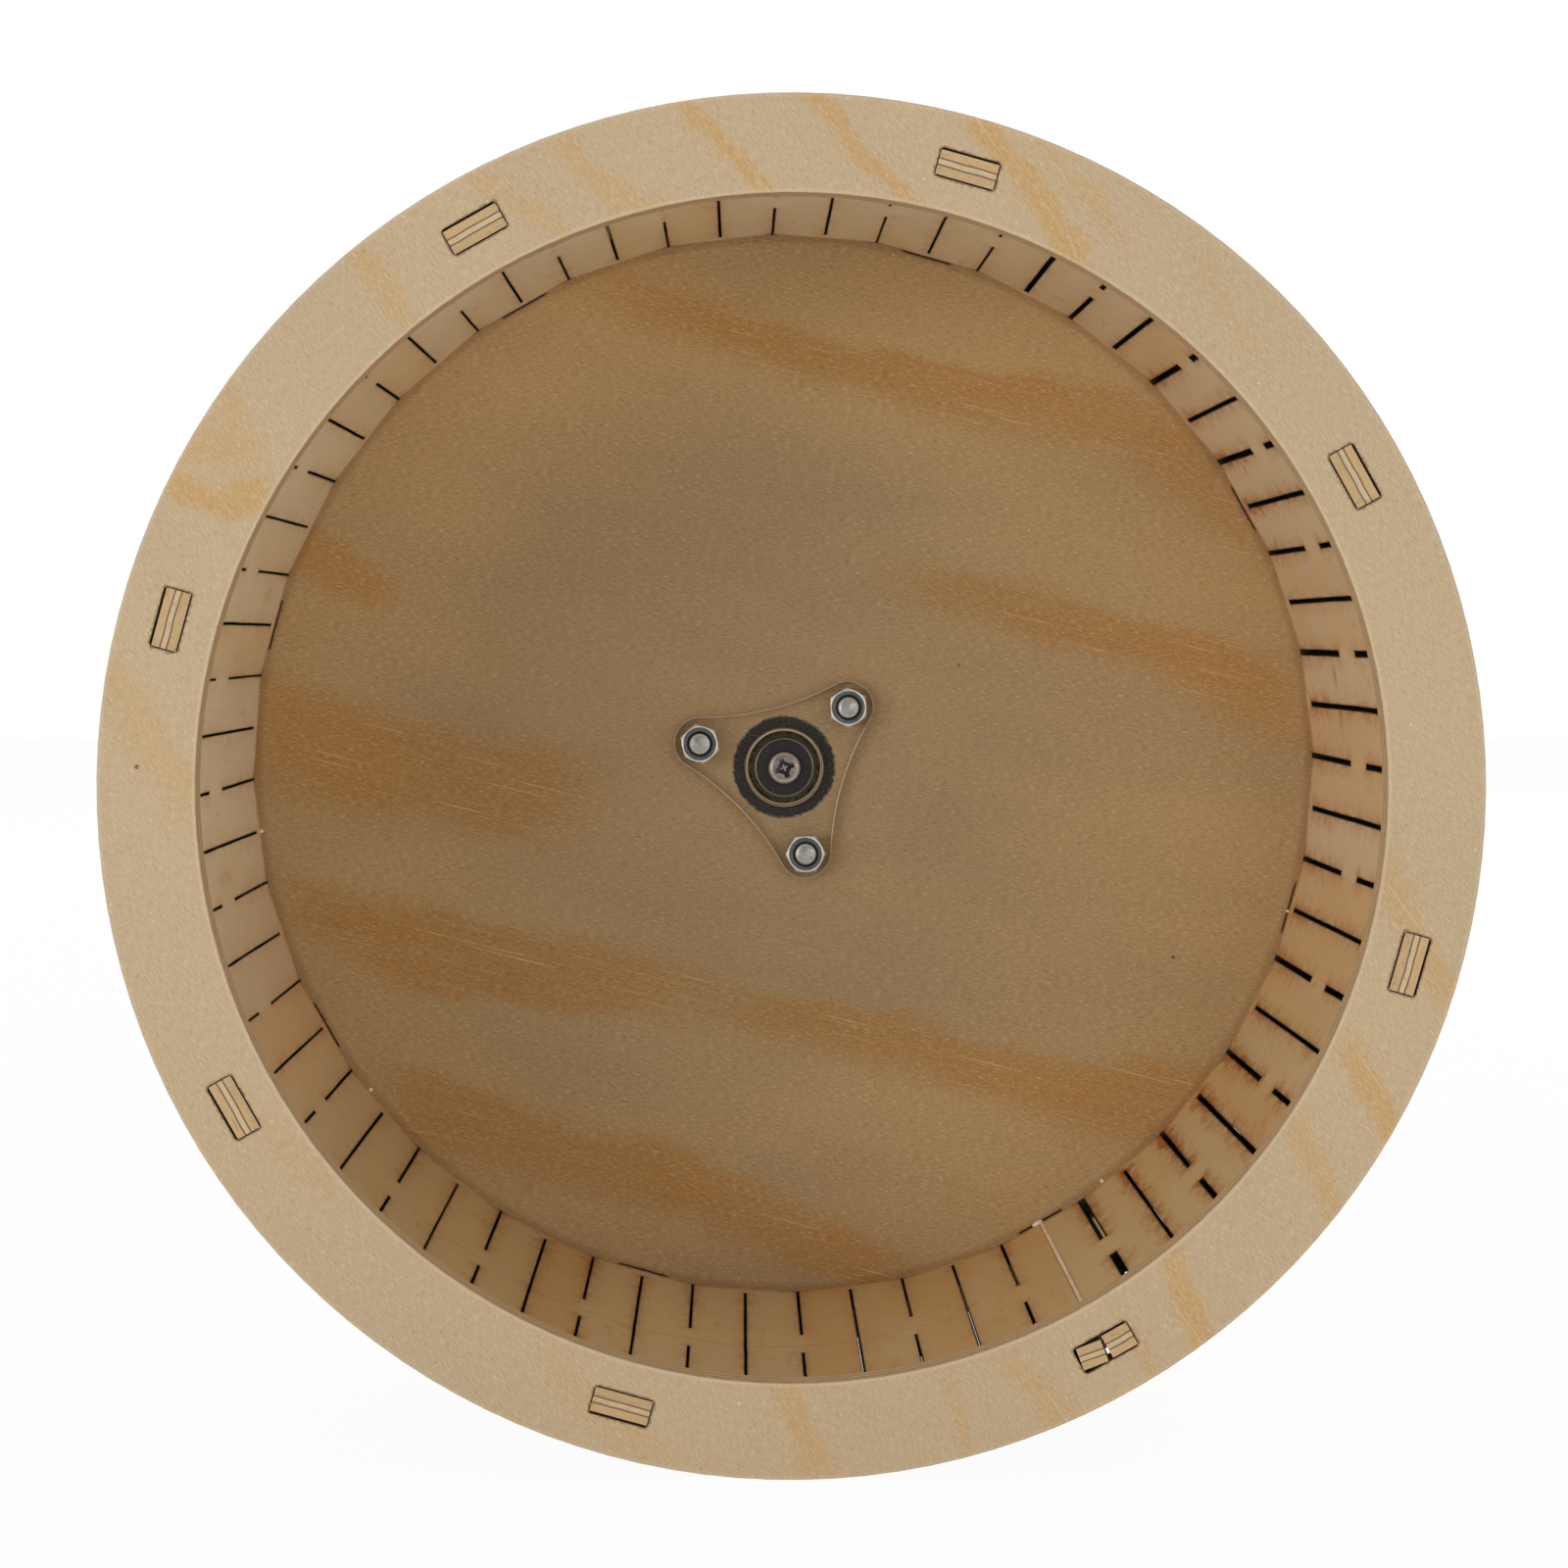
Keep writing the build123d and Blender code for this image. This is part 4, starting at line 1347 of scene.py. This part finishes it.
class WHEEL_OT_axle(bpy.types.Operator):
    """Model the axle screw and finish its washers, sleeve and spacer"""

    bl_idname = "wheel.axle"
    bl_label = "Axle"

    def execute(self, context):
        look = context.scene.wheel_look
        low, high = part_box("axle_screw")
        head_front, tip = -low.y, high.y
        radius = (high.x - low.x) / 2
        length = tip + SCREW_OVERLAP
        rod = threaded_rod("screw_thread", SCREW_CORE, SCREW_RADIUS, look.screw_pitch * MM, length, 0.62)
        for vertex in rod.data.vertices:
            share = min(max((length - vertex.co.z) / SCREW_TAPER, 0.03), 1.0)
            vertex.co.x *= share
            vertex.co.y *= share
        shank_length = head_front - SCREW_HEAD
        shank = start(
            "cylinder",
            "shank",
            vertices=36,
            radius=SHANK_RADIUS,
            depth=shank_length + 0.2 * MM,
            location=(0, 0, -shank_length / 2),
        )
        settle(shank)
        rod.location.z = -SCREW_OVERLAP
        settle(rod)
        cut_with(rod, shank, "UNION")
        head = pan_head("axle_head", radius, SCREW_HEAD, 6.8 * MM, 1.7 * MM, 1.3 * MM, look.recess_turn)
        head.rotation_euler.x = pi
        head.location.z = -shank_length
        settle(head)
        cut_with(rod, head, "UNION")
        soften(rod, 40)
        rod.name = "axle_screw_threaded"
        rod.matrix_world = Matrix.Rotation(radians(-90), 4, "X")
        settle(rod)
        for vertex in rod.data.vertices:
            vertex.co.y = min(vertex.co.y, tip)
        well = (-head_front / MM, 2.6)
        zinc = metal_finish("zinc_screw", linear(128, 124, 116), 0.27, 0.5, 0.5, 1.6, 0.8, None, well)
        hand_over(rod, "axle", ["axle_screw"], "zinc_steel", zinc)
        bright = metal_finish("bright_washer", linear(112, 106, 94), 0.3, 0.4)
        washer = eased_copy("axle_washer", "axle_washer_turned", 0.12 * MM)
        hand_over(washer, "axle", ["axle_washer"], "zinc_steel", bright)
        cover = eased_copy("axle_cover_washer", "axle_cover_washer_black", 0.2 * MM)
        hand_over(cover, "axle", ["axle_cover_washer"], "black_washer", black_washer_finish())
        turned = metal_finish("turned_steel", linear(150, 150, 150), 0.3, 0.2)
        dress("axle_sleeve", turned)
        spacer = eased_copy("wall_spacer", "wall_spacer_turned", 0.3 * MM)
        hand_over(spacer, "axle", ["wall_spacer"], "spacer_steel", turned)
        return {"FINISHED"}


# Studio

CAMERA_PLACE = (-9.08 * MM, 26.3 * MM)  # across and above the axle
CAMERA_PITCH, CAMERA_YAW = -1.998, -0.519
CAMERA_SHIFT = (0.0141, -0.0377)


class WHEEL_OT_studio(bpy.types.Operator):
    """Lay the floor, hang the lamps and set the camera"""

    bl_idname = "wheel.studio"
    bl_label = "Floor, Lamps and Camera"

    def execute(self, context):
        studio = context.scene.wheel_studio
        floor = start("plane", "studio_floor", size=6.0, location=(0, 0, -WHEEL_RADIUS))
        settle(floor)
        pick_all(floor)
        bpy.ops.mesh.subdivide(number_cuts=4)
        done()
        floor.data.materials.append(floor_finish(studio.floor_glow))
        self.set_world(context, studio)
        self.hang_lamp("key_lamp", (-1.15, -1.35, -0.05), 0.9, studio.key_power)
        self.hang_lamp("fill_lamp", (0.8, -1.35, -0.35), 1.6, studio.fill_power)
        self.hang_lamp("back_lamp", (0.5, 1.4, 0.9), 1.6, studio.back_power)
        self.set_camera(context, studio)
        context.scene.view_settings.view_transform = "Standard"
        return {"FINISHED"}

    def set_world(self, context, studio):
        world = bpy.data.worlds.new("studio_world")
        world.use_nodes = True
        tree = world.node_tree
        tree.nodes.clear()
        path = tree.nodes.new("ShaderNodeLightPath")
        seen = tree.nodes.new("ShaderNodeMath")
        seen.operation = "MAXIMUM"
        tree.links.new(path.outputs["Is Camera Ray"], seen.inputs[0])
        tree.links.new(path.outputs["Is Transmission Ray"], seen.inputs[1])
        light = tree.nodes.new("ShaderNodeBackground")
        light.inputs["Color"].default_value = (0.97, 0.985, 1.0, 1.0)
        light.inputs["Strength"].default_value = studio.sky_strength
        white = tree.nodes.new("ShaderNodeBackground")
        white.inputs["Color"].default_value = (1.0, 1.0, 1.0, 1.0)
        mix = tree.nodes.new("ShaderNodeMixShader")
        out = tree.nodes.new("ShaderNodeOutputWorld")
        tree.links.new(seen.outputs[0], mix.inputs[0])
        tree.links.new(light.outputs[0], mix.inputs[1])
        tree.links.new(white.outputs[0], mix.inputs[2])
        tree.links.new(mix.outputs[0], out.inputs["Surface"])
        context.scene.world = world

    def hang_lamp(self, name, place, size, power):
        lamp = bpy.data.lights.new(name, "AREA")
        lamp.energy = power
        lamp.size = size
        hung = bpy.data.objects.new(name, lamp)
        hung.location = place
        aim = Vector((0, -0.05, 0)) - Vector(place)
        hung.rotation_euler = aim.to_track_quat("-Z", "Y").to_euler()
        bpy.context.scene.collection.objects.link(hung)

    def set_camera(self, context, studio):
        camera = bpy.data.cameras.new("photo_camera")
        camera.lens = studio.lens
        camera.sensor_width = 36
        camera.shift_x, camera.shift_y = CAMERA_SHIFT
        eye = bpy.data.objects.new("photo_camera", camera)
        eye.location = (CAMERA_PLACE[0], -WHEEL_FRONT - studio.camera_distance, CAMERA_PLACE[1])
        eye.rotation_euler = (radians(90 + CAMERA_PITCH), 0, radians(CAMERA_YAW))
        context.scene.collection.objects.link(eye)
        context.scene.camera = eye


def floor_finish(glow):
    """Pale floor that the camera sees nearly white, with the wheel's shadow kept."""
    finish = Finish("studio_floor")
    seen = finish.node("LightPath", None, None, output="Is Camera Ray")
    mirrored = finish.node("LightPath", None, None, output="Is Glossy Ray")
    matt = finish.node("BsdfDiffuse", None, {"Color": (0.86, 0.86, 0.85, 1.0)})
    white = finish.node("Emission", None, {"Color": (1.0, 1.0, 1.0, 1.0), "Strength": 1.0})
    amount = finish.math("MAXIMUM", seen, mirrored) * glow
    return finish.close(finish.node("MixShader", None, {0: amount, 1: matt, 2: white}))


# Panel and settings


def tone(name, description, default):
    """A colour that the panel shows."""
    return bpy.props.FloatVectorProperty(
        name=name, description=description, default=default, subtype="COLOR", size=3, min=0.0, max=1.0
    )


class WheelLook(bpy.types.PropertyGroup):
    """Tones, grain and threads that can be set"""

    ring_tone: tone("Ring Tone", "Plain veneer of the ring", RING_LOOK.pale)
    disc_tone: tone("Disc Tone", "Plain veneer of the disc", DISC_LOOK.pale)
    strip_tone: tone("Strip Tone", "Plain veneer of the running strip", STRIP_LOOK.pale)
    ring_grain: bpy.props.FloatProperty(
        name="Ring Grain", description="Direction of the ring's grain from +X", default=radians(-55), subtype="ANGLE"
    )
    disc_grain: bpy.props.FloatProperty(
        name="Disc Grain", description="Direction of the disc's grain from +X", default=radians(-14), subtype="ANGLE"
    )
    bolt_pitch: bpy.props.FloatProperty(
        name="Bolt Pitch", description="Pitch of the hub bolts' thread in mm", default=0.7, min=0.3
    )
    screw_pitch: bpy.props.FloatProperty(
        name="Screw Pitch", description="Pitch of the axle screw's thread in mm", default=1.6, min=0.5
    )
    recess_turn: bpy.props.FloatProperty(
        name="Recess Turn", description="Turn of the axle screw's cross", default=0.35, subtype="ANGLE"
    )


class WheelStudio(bpy.types.PropertyGroup):
    """Light and camera of the studio"""

    key_power: bpy.props.FloatProperty(
        name="Key Lamp", description="Power of the main lamp", default=11.0, min=0, unit="POWER"
    )
    fill_power: bpy.props.FloatProperty(
        name="Fill Lamp", description="Power of the fill lamp", default=7.0, min=0, unit="POWER"
    )
    back_power: bpy.props.FloatProperty(
        name="Back Lamp", description="Power of the lamp behind the wheel", default=14.0, min=0, unit="POWER"
    )
    sky_strength: bpy.props.FloatProperty(
        name="Sky", description="Strength of the light from all round", default=0.72, min=0
    )
    floor_glow: bpy.props.FloatProperty(
        name="Floor White", description="How white the camera sees the floor", default=0.96, min=0, max=1
    )
    lens: bpy.props.FloatProperty(
        name="Lens", description="Focal length on a 36 mm sensor", default=58.67, min=10, unit="CAMERA"
    )
    camera_distance: bpy.props.FloatProperty(
        name="Camera Distance",
        description="From the camera to the wheel's front",
        default=0.42747,
        unit="LENGTH",
    )


STEPS = [
    WHEEL_OT_studio,
    WHEEL_OT_plywood,
    WHEEL_OT_strip,
    WHEEL_OT_glue,
    WHEEL_OT_hub_plates,
    WHEEL_OT_hub_bolts,
    WHEEL_OT_hub_nuts,
    WHEEL_OT_bearing,
    WHEEL_OT_axle,
]


class WHEEL_PT_looks(bpy.types.Panel):
    """Sidebar panel with one button for each group of pieces"""

    bl_idname = "WHEEL_PT_looks"
    bl_label = "Hamster Wheel"
    bl_space_type = "VIEW_3D"
    bl_region_type = "UI"
    bl_category = "Hamster Wheel"

    def draw(self, context):
        for step in STEPS:
            self.layout.operator(step.bl_idname)
        for group in (context.scene.wheel_look, context.scene.wheel_studio):
            for name in group.__annotations__:
                self.layout.prop(group, name)


CLASSES = [WheelLook, WheelStudio, *STEPS, WHEEL_PT_looks]


def register():
    for cls in CLASSES:
        bpy.utils.register_class(cls)
    bpy.types.Scene.wheel_look = bpy.props.PointerProperty(type=WheelLook)
    bpy.types.Scene.wheel_studio = bpy.props.PointerProperty(type=WheelStudio)


def unregister():
    del bpy.types.Scene.wheel_studio
    del bpy.types.Scene.wheel_look
    for cls in reversed(CLASSES):
        bpy.utils.unregister_class(cls)


def main():
    register()
    for step in STEPS:
        group, name = step.bl_idname.split(".")
        getattr(getattr(bpy.ops, group), name)()


if __name__ == "__main__":
    main()
